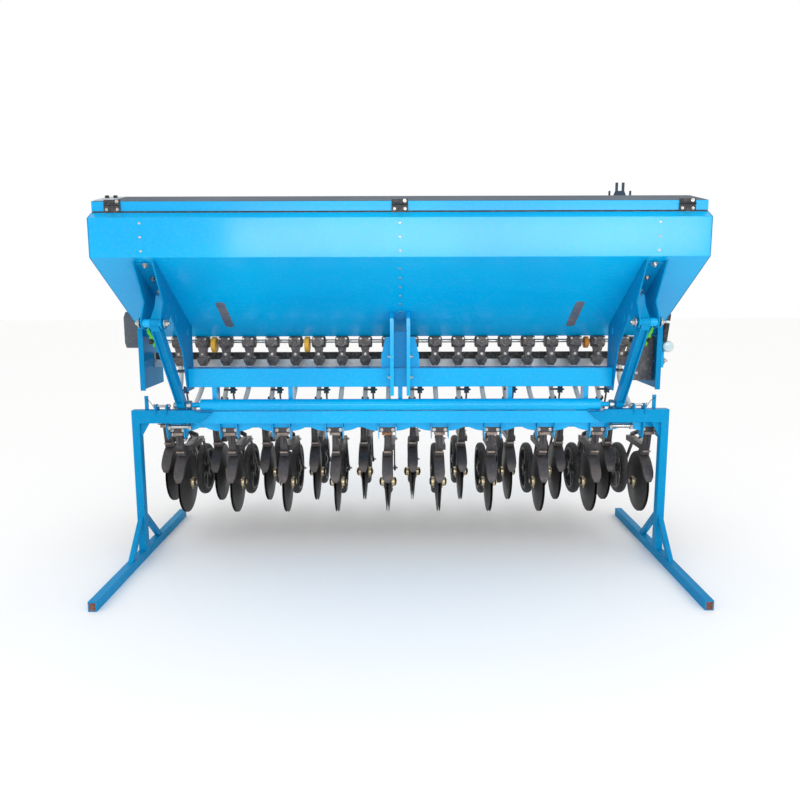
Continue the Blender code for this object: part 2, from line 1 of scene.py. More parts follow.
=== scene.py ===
import math

import bmesh
import bpy
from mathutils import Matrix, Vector


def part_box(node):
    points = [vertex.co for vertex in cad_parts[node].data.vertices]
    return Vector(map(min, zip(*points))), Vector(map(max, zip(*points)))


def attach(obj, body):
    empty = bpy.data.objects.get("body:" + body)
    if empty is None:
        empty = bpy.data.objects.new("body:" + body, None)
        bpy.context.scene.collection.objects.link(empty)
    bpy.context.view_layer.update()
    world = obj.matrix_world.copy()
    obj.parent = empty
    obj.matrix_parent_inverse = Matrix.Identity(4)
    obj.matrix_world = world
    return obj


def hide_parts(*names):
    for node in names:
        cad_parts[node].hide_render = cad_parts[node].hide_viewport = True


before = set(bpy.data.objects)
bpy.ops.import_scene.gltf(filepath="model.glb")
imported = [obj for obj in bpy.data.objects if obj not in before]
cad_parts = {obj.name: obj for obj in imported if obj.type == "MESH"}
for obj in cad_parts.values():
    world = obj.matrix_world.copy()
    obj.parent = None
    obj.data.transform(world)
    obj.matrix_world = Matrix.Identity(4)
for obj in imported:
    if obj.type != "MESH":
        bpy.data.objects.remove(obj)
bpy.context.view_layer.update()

# ---- Studio ----
# A pale floor, a white room and large soft lights, so that the enamel shows broad even reflections.
# The camera stands level with the hopper's sloping wall, on the tractor side.
VIEW_DISTANCE = 4.021
VIEW_HEIGHT = 1.538
VIEW_DOWN = math.radians(8.33)
VIEW_ROLL = math.radians(0.15)

camera_data = bpy.data.cameras.new("camera")
camera_data.lens = 31.5
camera_data.sensor_width = 36.0
camera_data.shift_y = -0.013
camera = bpy.data.objects.new("camera", camera_data)
camera.location = (0.0, -VIEW_DISTANCE, VIEW_HEIGHT)
camera.rotation_euler = (math.pi / 2 - VIEW_DOWN, VIEW_ROLL, 0.0)
bpy.context.scene.collection.objects.link(camera)
bpy.context.scene.camera = camera
bpy.context.scene.view_settings.view_transform = "Standard"

world = bpy.data.worlds.new("white_room")
world.use_nodes = True
world.node_tree.nodes["Background"].inputs["Color"].default_value = (1.0, 1.0, 1.0, 1.0)
world.node_tree.nodes["Background"].inputs["Strength"].default_value = 1.0
bpy.context.scene.world = world


def soft_light(name, place, target, width, height, power):
    lamp = bpy.data.lights.new(name, "AREA")
    lamp.shape = "RECTANGLE"
    lamp.size = width
    lamp.size_y = height
    lamp.energy = power
    holder = bpy.data.objects.new(name, lamp)
    holder.location = place
    holder.rotation_euler = (Vector(target) - Vector(place)).to_track_quat("-Z", "Y").to_euler()
    bpy.context.scene.collection.objects.link(holder)


soft_light("front_strip", (0.8, -6.5, 2.20), (0.3, -0.6, 1.80), 6.2, 0.55, 135)
soft_light("left_panel", (-5.0, -3.5, 3.4), (0.0, 0.0, 1.0), 2.5, 2.5, 20)
soft_light("right_panel", (5.0, -3.0, 3.2), (0.0, 0.0, 1.0), 2.5, 2.5, 15)

floor_material = bpy.data.materials.new("pale_floor")
floor_material.use_nodes = True
floor_shader = floor_material.node_tree.nodes["Principled BSDF"]
floor_shader.inputs["Base Color"].default_value = (0.97, 0.965, 0.96, 1.0)
floor_shader.inputs["Roughness"].default_value = 0.75
floor_mesh = bpy.data.meshes.new("floor")
floor_mesh.from_pydata([(-30, -30, 0), (30, -30, 0), (30, 30, 0), (-30, 30, 0)], [], [(0, 1, 2, 3)])
floor_mesh.materials.append(floor_material)
floor = bpy.data.objects.new("floor", floor_mesh)
bpy.context.scene.collection.objects.link(floor)

# ---- Painted steelwork ----
# Folded sheet and square tube, welded, shot-blasted and powder-coated: the hopper and the beams in gloss
# blue; the end plates, brackets, struts and stands in a darker, duller copy of that blue, its darkness
# painted shade for these side and lower parts. Each panel keeps its solid's shape, with the small radius
# that folding and coating leave on its edges.
PAINT_BLUE = (0.0, 0.42, 0.78, 1.0)
PAINT_SHADE = (0.0, 0.36, 0.72, 1.0)
SHADED_BLUE = (0.0, 0.27, 0.55, 1.0)
SHADED_BLUE_SECOND_TONE = (0.0, 0.22, 0.47, 1.0)
EDGE_RADIUS = 0.0016


def group_socket(group, name, in_out, kind, value=None):
    socket = group.interface.new_socket(name=name, in_out=in_out, socket_type=kind)
    if value is not None:
        socket.default_value = value


def new_group(name, inputs, outputs):
    """An empty shader node group; inputs are (name, socket type, value), outputs (name, socket type)."""
    group = bpy.data.node_groups.new(name, "ShaderNodeTree")
    for label, kind, value in inputs:
        group_socket(group, label, "INPUT", kind, value)
    for label, kind in outputs:
        group_socket(group, label, "OUTPUT", kind)
    return group, group.nodes.new("NodeGroupInput"), group.nodes.new("NodeGroupOutput")


def noise_node(tree, coordinates, scale, detail=3.0):
    noise = tree.nodes.new("ShaderNodeTexNoise")
    noise.inputs["Scale"].default_value = scale
    noise.inputs["Detail"].default_value = detail
    tree.links.new(coordinates, noise.inputs["Vector"])
    return noise


def spread_node(tree, source, low, high, to_low, to_high):
    """Maps a value's range to another one, clamped."""
    spread = tree.nodes.new("ShaderNodeMapRange")
    for label, value in (("From Min", low), ("From Max", high)):
        spread.inputs[label].default_value = value
    for label, value in (("To Min", to_low), ("To Max", to_high)):
        if isinstance(value, float):
            spread.inputs[label].default_value = value
        else:
            tree.links.new(value, spread.inputs[label])
    tree.links.new(source, spread.inputs["Value"])
    return spread.outputs["Result"]


def mix_colours(tree, factor, first, second):
    mix = tree.nodes.new("ShaderNodeMix")
    mix.data_type = "RGBA"
    for value, socket in ((factor, mix.inputs[0]), (first, mix.inputs[6]), (second, mix.inputs[7])):
        tree.links.new(value, socket)
    return mix.outputs[2]


def surface_group():
    """Colour that drifts between two shades, fine dust, uneven gloss and a grain in the surface."""
    colour, number = "NodeSocketColor", "NodeSocketFloat"
    group, given, made = new_group(
        "worked_surface",
        [
            ("Colour", colour, (0.5, 0.5, 0.5, 1.0)), ("Shade", colour, (0.4, 0.4, 0.4, 1.0)),
            ("Dust", colour, (0.4, 0.38, 0.34, 1.0)), ("Dust Amount", number, 0.1),
            ("Drift Scale", number, 3.0), ("Grain Scale", number, 200.0), ("Grain Depth", number, 0.1),
            ("Gloss Low", number, 0.3), ("Gloss High", number, 0.4),
        ],
        [("Colour", colour), ("Roughness", number), ("Normal", "NodeSocketVector")],
    )
    place = group.nodes.new("ShaderNodeTexCoord").outputs["Object"]
    drift = noise_node(group, place, 3.0)
    group.links.new(given.outputs["Drift Scale"], drift.inputs["Scale"])
    grain = noise_node(group, place, 200.0, 2.0)
    group.links.new(given.outputs["Grain Scale"], grain.inputs["Scale"])
    specks = noise_node(group, place, 55.0, 6.0)
    drift_mask = spread_node(group, drift.outputs["Fac"], 0.35, 0.65, 0.0, 1.0)
    painted = mix_colours(group, drift_mask, given.outputs["Colour"], given.outputs["Shade"])
    dust_mask = spread_node(group, specks.outputs["Fac"], 0.48, 0.75, 0.0, given.outputs["Dust Amount"])
    group.links.new(mix_colours(group, dust_mask, painted, given.outputs["Dust"]), made.inputs["Colour"])
    gloss = spread_node(group, drift.outputs["Fac"], 0.3, 0.7, given.outputs["Gloss Low"],
                        given.outputs["Gloss High"])
    group.links.new(gloss, made.inputs["Roughness"])
    bump = group.nodes.new("ShaderNodeBump")
    bump.inputs["Distance"].default_value = 0.001
    group.links.new(given.outputs["Grain Depth"], bump.inputs["Strength"])
    group.links.new(grain.outputs["Fac"], bump.inputs["Height"])
    group.links.new(bump.outputs["Normal"], made.inputs["Normal"])
    return group


WORKED_SURFACE = surface_group()


def finish_material(name, colour, shade, metallic=0.0, dust=0.05, drift=3.0, grain=200.0, depth=0.1,
                    gloss=(0.3, 0.4), coat=0.0, specular=0.4, dust_colour=(0.42, 0.40, 0.36, 1.0)):
    """A Principled surface fed by the worked-surface group."""
    material = bpy.data.materials.new(name)
    material.use_nodes = True
    tree = material.node_tree
    shader = tree.nodes["Principled BSDF"]
    surface = tree.nodes.new("ShaderNodeGroup")
    surface.node_tree = WORKED_SURFACE
    settings = {
        "Colour": colour, "Shade": shade, "Dust": dust_colour, "Dust Amount": dust, "Drift Scale": drift,
        "Grain Scale": grain, "Grain Depth": depth, "Gloss Low": gloss[0], "Gloss High": gloss[1],
    }
    for label, value in settings.items():
        surface.inputs[label].default_value = value
    tree.links.new(surface.outputs["Colour"], shader.inputs["Base Color"])
    tree.links.new(surface.outputs["Roughness"], shader.inputs["Roughness"])
    tree.links.new(surface.outputs["Normal"], shader.inputs["Normal"])
    shader.inputs["Metallic"].default_value = metallic
    shader.inputs["Specular IOR Level"].default_value = specular
    shader.inputs["Coat Weight"].default_value = coat
    shader.inputs["Coat Roughness"].default_value = 0.12
    return material


def smooth_by_angle(mesh, degrees=32):
    mesh.shade_smooth()
    mesh.set_sharp_from_angle(angle=math.radians(degrees))


def settle(piece, body, slot, *nodes):
    """Hangs a finished piece on its body and hides the solids it stands for; the slot it is given is not
    used.
    """
    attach(piece, body)
    if nodes:
        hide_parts(*nodes)
    return piece


def soften(piece, width, segments=2):
    bevel = piece.modifiers.new("edges", "BEVEL")
    bevel.width = width
    bevel.segments = segments
    bevel.limit_method = "ANGLE"
    bevel.angle_limit = math.radians(28)
    bevel.use_clamp_overlap = True
    bevel.harden_normals = True


def cut_out(piece, cutter):
    """Removes the cutter's shape from the piece for good, and the cutter with it."""
    holes = piece.modifiers.new("holes", "BOOLEAN")
    holes.operation = "DIFFERENCE"
    holes.object = cutter
    bpy.context.view_layer.update()
    graph = bpy.context.evaluated_depsgraph_get()
    piece.data = bpy.data.meshes.new_from_object(piece.evaluated_get(graph))
    piece.modifiers.remove(holes)
    bpy.data.objects.remove(cutter, do_unlink=True)


def refined_panel(node, name, material, slot, body="root", width=EDGE_RADIUS, cutter=None):
    """A copy of the CAD solid with its flat faces whole again, its holes cut and its edges rounded."""
    shape = bmesh.new()
    shape.from_mesh(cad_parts[node].data)
    bmesh.ops.remove_doubles(shape, verts=shape.verts, dist=0.00002)
    bmesh.ops.dissolve_limit(shape, angle_limit=math.radians(0.5), verts=shape.verts, edges=shape.edges)
    mesh = bpy.data.meshes.new(name)
    shape.to_mesh(mesh)
    shape.free()
    mesh.materials.append(material)
    piece = bpy.data.objects.new(name, mesh)
    bpy.context.scene.collection.objects.link(piece)
    if cutter:
        cut_out(piece, cutter)
    smooth_by_angle(piece.data)
    soften(piece, width)
    return settle(piece, body, slot, node)


gloss_blue = finish_material(
    "gloss_blue_enamel", PAINT_BLUE, PAINT_SHADE, dust=0.04, drift=1.4, grain=240.0, depth=0.03,
    gloss=(0.17, 0.24), coat=0.25, specular=0.15,
)
# Darker copy of the gloss blue: its darkness is painted shade on the end plates, brackets, struts and
# stands.
shaded_blue = finish_material("shaded_blue_enamel", SHADED_BLUE, SHADED_BLUE_SECOND_TONE, dust=0.04, drift=1.8, grain=240.0,
                            depth=0.06, gloss=(0.35, 0.48), coat=0.03, specular=0.06)
SIDES = (("left", -1), ("right", 1))
for node, name in (
    ("hopper", "hopper_trough"), ("toolbar", "lower_toolbar"), ("upper_beam", "upper_box_beam"),
    ("headstock", "top_link_stock"),
):
    refined_panel(node, name, gloss_blue, "blue_paint")
for side_name, side in SIDES:
    for node, name in (("hopper_side", "end_plate"), ("stand", "parking_stand")):
        refined_panel(f"{node}_{side_name}", f"{name}_{side_name}", shaded_blue, "blue_paint")

# ---- Lid ----
# One folded sheet over the blue front lip, with three black hinges on its front edge; its dark slate colour
# is painted reflection, the dark surroundings mirrored by its top at a grazing angle.
# The left end has a pale cap with two knobs, where the lid stay is fixed.
HINGE_HALF = 0.040
HINGE_PLACES = (-1.397, 0.0, 1.397)
# Dark slate colour: painted reflection of dark surroundings on the lid's top at a grazing angle.
lid_reflection_paint = finish_material("lid_painted_reflection", (0.030, 0.060, 0.095, 1.0), (0.055, 0.085, 0.120, 1.0), dust=0.08,
                        drift=1.2, grain=180.0, depth=0.05, gloss=(0.34, 0.50), specular=0.06)
refined_panel("lid", "folded_lid", lid_reflection_paint, "lid_paint", body="lid")


class Shape:
    """Gathers simple closed forms into one mesh, each with its own finish number."""

    def __init__(self):
        self.mesh = bmesh.new()
        self.finish = 0

    def faces_from(self, points, faces):
        corners = [self.mesh.verts.new(point) for point in points]
        for face in faces:
            made = self.mesh.faces.new([corners[index] for index in face])
            made.material_index = self.finish

    def prism(self, outline, low, high, place):
        count = len(outline)
        points = [place(low, a, b) for a, b in outline] + [place(high, a, b) for a, b in outline]
        faces = [list(range(count)), list(range(count, 2 * count))]
        faces += [[i, (i + 1) % count, count + (i + 1) % count, count + i] for i in range(count)]
        self.faces_from(points, faces)

    def along_x(self, outline, low, high):
        self.prism(outline, low, high, lambda x, y, z: (x, y, z))

    def along_y(self, outline, low, high):
        self.prism(outline, low, high, lambda y, x, z: (x, y, z))

    def block(self, low, high):
        self.along_x(
            [(low[1], low[2]), (high[1], low[2]), (high[1], high[2]), (low[1], high[2])], low[0], high[0],
        )

    def loft(self, rings, closed=False):
        """Skins a list of equal rings of points and caps both ends."""
        sides = len(rings[0])
        points = [point for ring in rings for point in ring]
        faces = []
        pairs = list(zip(range(len(rings)), range(1, len(rings))))
        if closed:
            pairs.append((len(rings) - 1, 0))
        else:
            faces = [list(range(sides)), list(range(len(points) - sides, len(points)))]
        for near, far in pairs:
            for i in range(sides):
                j = (i + 1) % sides
                faces.append([near * sides + i, near * sides + j, far * sides + j, far * sides + i])
        self.faces_from(points, faces)

    def turned(self, start, direction, profile, sides=24, closed=False):
        """A profile of (distance along, radius) turned about a line."""
        along = Vector(direction).normalized()
        across = along.orthogonal().normalized()
        third = along.cross(across)
        rings = []
        for distance, radius in profile:
            centre = Vector(start) + along * distance
            turns = [2 * math.pi * i / sides for i in range(sides)]
            rings.append([centre + (across * math.cos(t) + third * math.sin(t)) * radius for t in turns])
        self.loft(rings, closed)

    def rod(self, start, end, radius, sides=16):
        length = (Vector(end) - Vector(start)).length
        chamfer = min(radius * 0.2, length * 0.2)
        self.turned(start, Vector(end) - Vector(start),
                    [(0.0, radius - chamfer), (chamfer, radius), (length - chamfer, radius),
                     (length, radius - chamfer)], sides)

    def bolt(self, place, direction, size, height=0.6, washer=True):
        """A hexagon head on a round washer; size is across the head's corners."""
        if washer:
            self.turned(place, direction, [(0.0, size * 0.8), (size * 0.12, size * 0.8)], 20)
        top = size * height
        self.turned(place, direction, [(0.0, size * 0.5), (top * 0.8, size * 0.5), (top, size * 0.42)], 6)
        self.turned(place, direction, [(0.0, size * 0.25), (top * 1.45, size * 0.25)], 12)

    def tube_along(self, points, radius, sides=12):
        """A round tube through a list of points."""
        rings = []
        places = [Vector(point) for point in points]
        for i, centre in enumerate(places):
            along = (places[min(i + 1, len(places) - 1)] - places[max(i - 1, 0)]).normalized()
            across = Vector((1.0, 0.0, 0.0))
            across = (across - along * across.dot(along)).normalized()
            third = along.cross(across)
            size = radius[i] if isinstance(radius, list) else radius
            turns = [2 * math.pi * k / sides for k in range(sides)]
            rings.append([centre + (across * math.cos(t) + third * math.sin(t)) * size for t in turns])
        self.loft(rings)

    def tool(self):
        """An object that only cuts others."""
        bmesh.ops.recalc_face_normals(self.mesh, faces=self.mesh.faces)
        made = bpy.data.meshes.new("tool")
        self.mesh.to_mesh(made)
        self.mesh.free()
        cutter = bpy.data.objects.new("tool", made)
        bpy.context.scene.collection.objects.link(cutter)
        return cutter

    def piece(self, name, materials, body, slot, *nodes, width=0.0, segments=2):
        bmesh.ops.recalc_face_normals(self.mesh, faces=self.mesh.faces)
        made = bpy.data.meshes.new(name)
        self.mesh.to_mesh(made)
        self.mesh.free()
        for material in materials:
            made.materials.append(material)
        smooth_by_angle(made)
        piece = bpy.data.objects.new(name, made)
        bpy.context.scene.collection.objects.link(piece)
        if width:
            soften(piece, width, segments)
        return settle(piece, body, slot, *nodes)


black_steel = finish_material("black_hinge_steel", (0.018, 0.018, 0.02, 1.0), (0.035, 0.034, 0.036, 1.0),
                              metallic=0.3, dust=0.15, gloss=(0.35, 0.5))
plated = finish_material("plated_fastener", (0.62, 0.60, 0.56, 1.0), (0.45, 0.44, 0.43, 1.0), metallic=1.0,
                         dust=0.1, drift=40.0, gloss=(0.22, 0.42))
pale_cap = finish_material(
    "pale_moulding", (0.50, 0.56, 0.60, 1.0), (0.42, 0.47, 0.52, 1.0), gloss=(0.4, 0.5),
)
HINGE_AXIS = (-0.5322, 1.938)
KNUCKLE_RADIUS = 0.0055
LOWER_KNUCKLES = ((-1.0, -0.62), (-0.2, 0.2), (0.62, 1.0))
UPPER_KNUCKLES = ((-0.6, -0.22), (0.22, 0.6))
LEAF_Y = (-0.5302, -0.5268)
LOWER_LEAF_FRONT = -0.5335
LID_END = 1.4995
lower_leaves = Shape()
upper_leaves = Shape()
for x in HINGE_PLACES:
    lower_leaves.finish = 0
    lower_leaves.block((x - HINGE_HALF, LOWER_LEAF_FRONT, 1.8965), (x + HINGE_HALF, LEAF_Y[1], 1.932))
    upper_leaves.finish = 0
    upper_leaves.block((x - HINGE_HALF, LEAF_Y[0], 1.9445), (x + HINGE_HALF, -0.5254, 1.9610))
    for leaves, knuckles in ((lower_leaves, LOWER_KNUCKLES), (upper_leaves, UPPER_KNUCKLES)):
        for low_x, high_x in knuckles:
            start = (x + low_x * HINGE_HALF, *HINGE_AXIS)
            leaves.rod(start, (x + high_x * HINGE_HALF, *HINGE_AXIS), KNUCKLE_RADIUS)
    lower_leaves.finish = 1
    upper_leaves.finish = 1
    for offset in (-0.026, 0.026):
        lower_leaves.bolt((x + offset, LOWER_LEAF_FRONT, 1.914), (0, -1, 0), 0.009)
    upper_leaves.bolt((x + 0.024, LEAF_Y[0], 1.9525), (0, -1, 0), 0.011)
lower_leaves.piece("lower_hinge_leaves", [black_steel, plated], "root", "lid_paint", width=0.0006)
upper_leaves.piece("upper_hinge_leaves", [black_steel, plated], "lid", "lid_paint", width=0.0006)
lid_trim = Shape()
lid_trim.along_x([(-0.505, 1.9575), (-0.340, 1.9935), (-0.340, 1.9985), (-0.505, 1.9625)], -1.495, -1.405)
lid_trim.finish = 1
for x in (-1.470, -1.428):
    lid_trim.turned(
        (x, -0.400, 1.983), (0, -0.22, 1.0),
        [(0.0, 0.006), (0.004, 0.010), (0.012, 0.011), (0.015, 0.008)], 20,
    )
lid_trim.piece("lid_stay_cap", [pale_cap, black_steel], "lid", "lid_paint", width=0.001)
lip = Shape()
lip.along_x(
    [(-0.5262, 1.9065), (-0.5254, 1.9065), (-0.5254, 1.9525), (-0.5262, 1.9525)], -LID_END, LID_END,
)
lip.piece("lid_front_lip", [gloss_blue], "lid", "blue_paint")
# Black strip closing the gap between the lid skirt and the hopper rim: its black is painted shade for the
# shaded recess under the lid.
gap_shade_strip = Shape()
gap_shade_strip.along_x(
    [
        (-0.5345, 1.8975), (-0.5345, 1.9015), (-0.5300, 1.9056), (-0.5215, 1.9056), (-0.5215, 1.8995),
        (-0.5305, 1.8965),
    ],
    -1.495, 1.495,
)
gap_shade_strip.piece("lid_gap_shade_strip", [black_steel], "root", "black_plastic")

# ---- Hopper fittings ----
# Pop rivets on the folded band, a bolt row down the middle seam, and two seed-level windows of smoked
# plastic, each in a slot of the sloping wall.
BAND_Y = -0.587
BAND_BOTTOM = 1.682
FLOOR_FRONT = (0.092, 1.253)
slope_run = Vector((0.0, FLOOR_FRONT[0] - BAND_Y, FLOOR_FRONT[1] - BAND_BOTTOM))
slope_along = slope_run.normalized()
slope_out = Vector((0.0, slope_along.z, -slope_along.y))


def on_slope(x, distance, lift=0.0):
    """A point on the sloping front wall, measured down from the band."""
    return Vector((x, BAND_Y, BAND_BOTTOM)) + slope_along * distance + slope_out * lift


window_plastic = finish_material(
    "smoked_window", (0.085, 0.125, 0.185, 1.0), (0.15, 0.15, 0.17, 1.0), dust=0.3, drift=9.0,
    gloss=(0.15, 0.3), dust_colour=(0.35, 0.24, 0.18, 1.0),
)
rivets = Shape()
for x in (-1.25, 0.0, 1.25):
    for z in (1.712, 1.778, 1.844):
        rivets.turned((x, BAND_Y, z), (0, -1, 0), [(0.0, 0.0065), (0.0015, 0.006), (0.0028, 0.003)], 16)
for step in range(6):
    place = on_slope(0.0, 0.10 + step * 0.085)
    rivets.turned(place, slope_out, [(0.0, 0.007), (0.002, 0.0065), (0.0035, 0.003)], 16)
rivets.piece("hopper_rivets", [plated], "root", "zinc_sheet")
WINDOW_ENDS = (0.428, 0.672)
WINDOW_RADIUS = 0.0245
windows = Shape()
for x in (-0.97, 0.97):
    rings = []
    for lift, inset in ((0.0, 0.0), (0.0025, 0.0), (0.0035, 0.002)):
        ring = []
        for centre, start_angle in zip(WINDOW_ENDS, (180, 0)):
            for step in range(9):
                angle = math.radians(start_angle - 90 + 180 * step / 8)
                radius = WINDOW_RADIUS - inset
                ring.append(
                    on_slope(x + radius * math.sin(angle), centre + 0.5 * radius * math.cos(angle), lift)
                )
        rings.append(ring)
    windows.loft(rings)
windows.piece("seed_level_windows", [window_plastic], "root", "black_plastic")

# ---- Channel brackets, struts and top-link stock ----
# Welded channel under the sloping wall, bolted through its web, with long holes punched in the inner
# flange. Its pin carries the grooved strut between blue spacer tubes, and plated nuts close both ends.
LINK_PIN = (-0.500, 1.362)
TUBE_END = (-0.136, 0.884)
PIN_BORE = 0.0125
SPACER_RADIUS = 0.021
SLOT_RADIUS = 0.011
GROOVE_X = (1.2115, 1.2435)
GROOVE_END = 0.034
GROOVE_FLOOR = 0.010
GROOVE_REACH = 0.030
for side_name, side in SIDES:
    link = Shape()
    for x in (1.178, 1.302):
        link.bolt((side * x, *LINK_PIN), (side if x > 1.25 else -side, 0, 0), 0.034, height=0.5)
    link.rod((side * 1.199, *LINK_PIN), (side * 1.286, *LINK_PIN), 0.0123)
    link.turned(
        (side * 1.170, *TUBE_END), (side, 0, 0),
        [(0.0, 0.020), (0.004, 0.026), (0.026, 0.026), (0.030, 0.018)], 24,
    )
    link.turned(
        (side * 1.252, *TUBE_END), (side, 0, 0),
        [(0.0, 0.021), (0.014, 0.021), (0.015, 0.016), (0.022, 0.016)], 6,
    )
    for distance in (0.045, 0.165, 0.285):
        link.bolt(on_slope(side * 1.2425, distance, 0.012), slope_out, 0.020)
    link.piece(f"link_fasteners_{side_name}", [plated], "root", "zinc_sheet", width=0.0006)
    punch = Shape()
    for centre_y, centre_z in ((-0.400, 1.440), (-0.290, 1.372), (-0.095, 1.290)):
        ring = []
        for step in range(20):
            angle = 2 * math.pi * (step + 0.5) / 20
            rise = SLOT_RADIUS * math.sin(angle)
            ring.append((centre_y + SLOT_RADIUS * math.cos(angle),
                         centre_z + rise + math.copysign(SLOT_RADIUS, rise)))
        punch.along_x(ring, side * 1.185, side * 1.205)
    refined_panel(f"link_bracket_{side_name}", f"channel_bracket_{side_name}", shaded_blue, "blue_paint",
                  cutter=punch.tool())
    spacer = Shape()
    for x, length in ((1.2505, 0.0355), (1.1992, 0.0053)):
        tube = [(0.0, PIN_BORE), (0.0, SPACER_RADIUS), (length, SPACER_RADIUS), (length, PIN_BORE)]
        spacer.turned((side * x, *LINK_PIN), (side, 0, 0), tube, 28, closed=True)
    spacer.piece(f"pin_spacers_{side_name}", [gloss_blue], "root", "blue_paint", width=0.0008)
    run = Vector((0.0, TUBE_END[0] - LINK_PIN[0], TUBE_END[1] - LINK_PIN[1]))
    along = run.normalized()
    out = Vector((0.0, along.z, -along.y))
    near = Vector((0.0, *LINK_PIN)) + along * GROOVE_END + out * GROOVE_FLOOR
    far = near + along * (run.length - 2 * GROOVE_END)
    front = out * GROOVE_REACH
    groove = Shape()
    groove.along_x([(p.y, p.z) for p in (near, far, far + front, near + front)], side * GROOVE_X[0],
                   side * GROOVE_X[1])
    refined_panel(
        f"strut_{side_name}", f"link_strut_{side_name}", shaded_blue, "blue_paint", cutter=groove.tool(),
    )
stock = Shape()
for x in (-0.045, 0.045):
    for z in (1.16, 1.045):
        stock.bolt((x + math.copysign(0.010, x), -0.175, z), (math.copysign(1, x), 0, 0), 0.018)
stock.piece("top_link_fasteners", [plated], "root", "zinc_sheet", width=0.0006)

# ---- Metering housings ----
# Cast housings under the hopper floor, one a row, each with a round rotor cover, a waisted throat and a
# flared outlet, strung on one bright feed shaft. Two yellow couplings and an orange one join the shaft.
METER_PITCH = 0.137
ROWS = 20
meter_low, meter_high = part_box("metering_row")
cast_grey = finish_material(
    "grey_casting", (0.075, 0.066, 0.066, 1.0), (0.14, 0.125, 0.12, 1.0), metallic=0.35, dust=0.35,
    drift=22.0, grain=420.0, depth=0.5, gloss=(0.38, 0.6),
)
bright_shaft = finish_material(
    "bright_shaft", (0.55, 0.52, 0.47, 1.0), (0.7, 0.68, 0.64, 1.0), metallic=0.9, dust=0.2, drift=30.0,
    gloss=(0.25, 0.4),
)
yellow_plastic = finish_material(
    "yellow_coupling", (0.90, 0.50, 0.04, 1.0), (0.78, 0.40, 0.03, 1.0), gloss=(0.4, 0.5),
)
orange_plastic = finish_material(
    "orange_coupling", (0.80, 0.27, 0.03, 1.0), (0.65, 0.2, 0.02, 1.0), gloss=(0.4, 0.5),
)
METER_TOP = 1.2525
FEED_SHAFT = (0.135, 1.222)
HOUSING_OUTLINE = [(0.070, METER_TOP), (0.062, 1.238), (0.064, 1.205), (0.085, 1.188), (0.145, 1.188),
                   (0.160, 1.210), (0.160, METER_TOP)]
ROTOR_COVER = [(0.0, 0.026), (0.003, 0.031), (0.077, 0.031), (0.080, 0.026)]
FRONT_COVER = [(0.0, 0.027), (0.004, 0.026), (0.0045, 0.014), (0.010, 0.012)]
# Throat and outlet: height, half width, front and rear.
THROAT = ((1.192, 0.026, 0.080, 0.140), (1.165, 0.020, 0.086, 0.135), (1.135, 0.021, 0.086, 0.135),
          (1.128, 0.033, 0.080, 0.140), (1.104, 0.030, 0.083, 0.138), (1.080, 0.017, 0.093, 0.128))
meters = Shape()
for index in range(ROWS):
    x = (index - (ROWS - 1) / 2) * METER_PITCH
    meters.finish = 0
    meters.along_x(HOUSING_OUTLINE, x - 0.033, x + 0.033)
    meters.turned((x - 0.040, 0.112, 1.218), (1, 0, 0), ROTOR_COVER, 24)
    meters.turned((x, 0.066, FEED_SHAFT[1]), (0, -1, 0), FRONT_COVER, 24)
    rings = []
    for z, half, low_y, high_y in THROAT:
        rings.append(
            [(x - half, low_y, z), (x + half, low_y, z), (x + half, high_y, z), (x - half, high_y, z)]
        )
    meters.loft(rings)
    meters.finish = 1
    for offset in (-0.026, 0.026):
        meters.bolt((x + offset, 0.0635, 1.240), (0, -1, 0), 0.009)
    meters.bolt((x, 0.081, 1.150), (0, -1, 0), 0.010)
meters.finish = 2
meters.rod((meter_low.x, *FEED_SHAFT), (meter_high.x, *FEED_SHAFT), 0.0105, 20)
meters.finish = 3
for x in (-1.096, -0.548):
    meters.turned(
        (x - 0.013, 0.108, 1.204), (1, 0, 0),
        [(0.0, 0.043), (0.002, 0.046), (0.026, 0.046), (0.028, 0.043)], 28,
    )
meters.finish = 4
meters.turned(
    (1.083, 0.112, 1.214), (1, 0, 0), [(0.0, 0.030), (0.002, 0.034), (0.024, 0.034), (0.026, 0.030)], 24,
)
meters.piece(
    "metering_housings", [cast_grey, plated, bright_shaft, yellow_plastic, orange_plastic], "root",
    "cast_iron", "metering_row", width=0.0011,
)

# ---- Calibration tray ----
# Zinc-plated sheet folded into a long tray behind the housings, with a black rubber strip on its front
# edge, bolted on at even spaces.
zinc = finish_material(
    "zinc_plated_sheet", (0.78, 0.79, 0.80, 1.0), (0.56, 0.57, 0.58, 1.0), metallic=0.6, dust=0.2,
    drift=6.0, grain=90.0, depth=0.25, gloss=(0.22, 0.5),
)
black_rubber = finish_material(
    "black_rubber_strip", (0.022, 0.022, 0.024, 1.0), (0.04, 0.04, 0.042, 1.0), dust=0.3, grain=300.0,
    gloss=(0.5, 0.7),
)
refined_panel("seed_tray", "calibration_tray", zinc, "zinc_sheet", width=0.0008)
tray_low, tray_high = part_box("seed_tray")
strip = Shape()
strip.block(
    (tray_low.x + 0.01, tray_low.y - 0.003, 1.106), (tray_high.x - 0.01, tray_low.y - 0.0004, 1.149),
)
for step in range(24):
    x = tray_low.x + 0.06 + step * (tray_high.x - tray_low.x - 0.12) / 23
    strip.bolt((x, tray_low.y - 0.003, 1.134), (0, -1, 0), 0.008)
strip.piece("tray_rubber_strip", [black_rubber], "root", "tyre_rubber", width=0.0005)

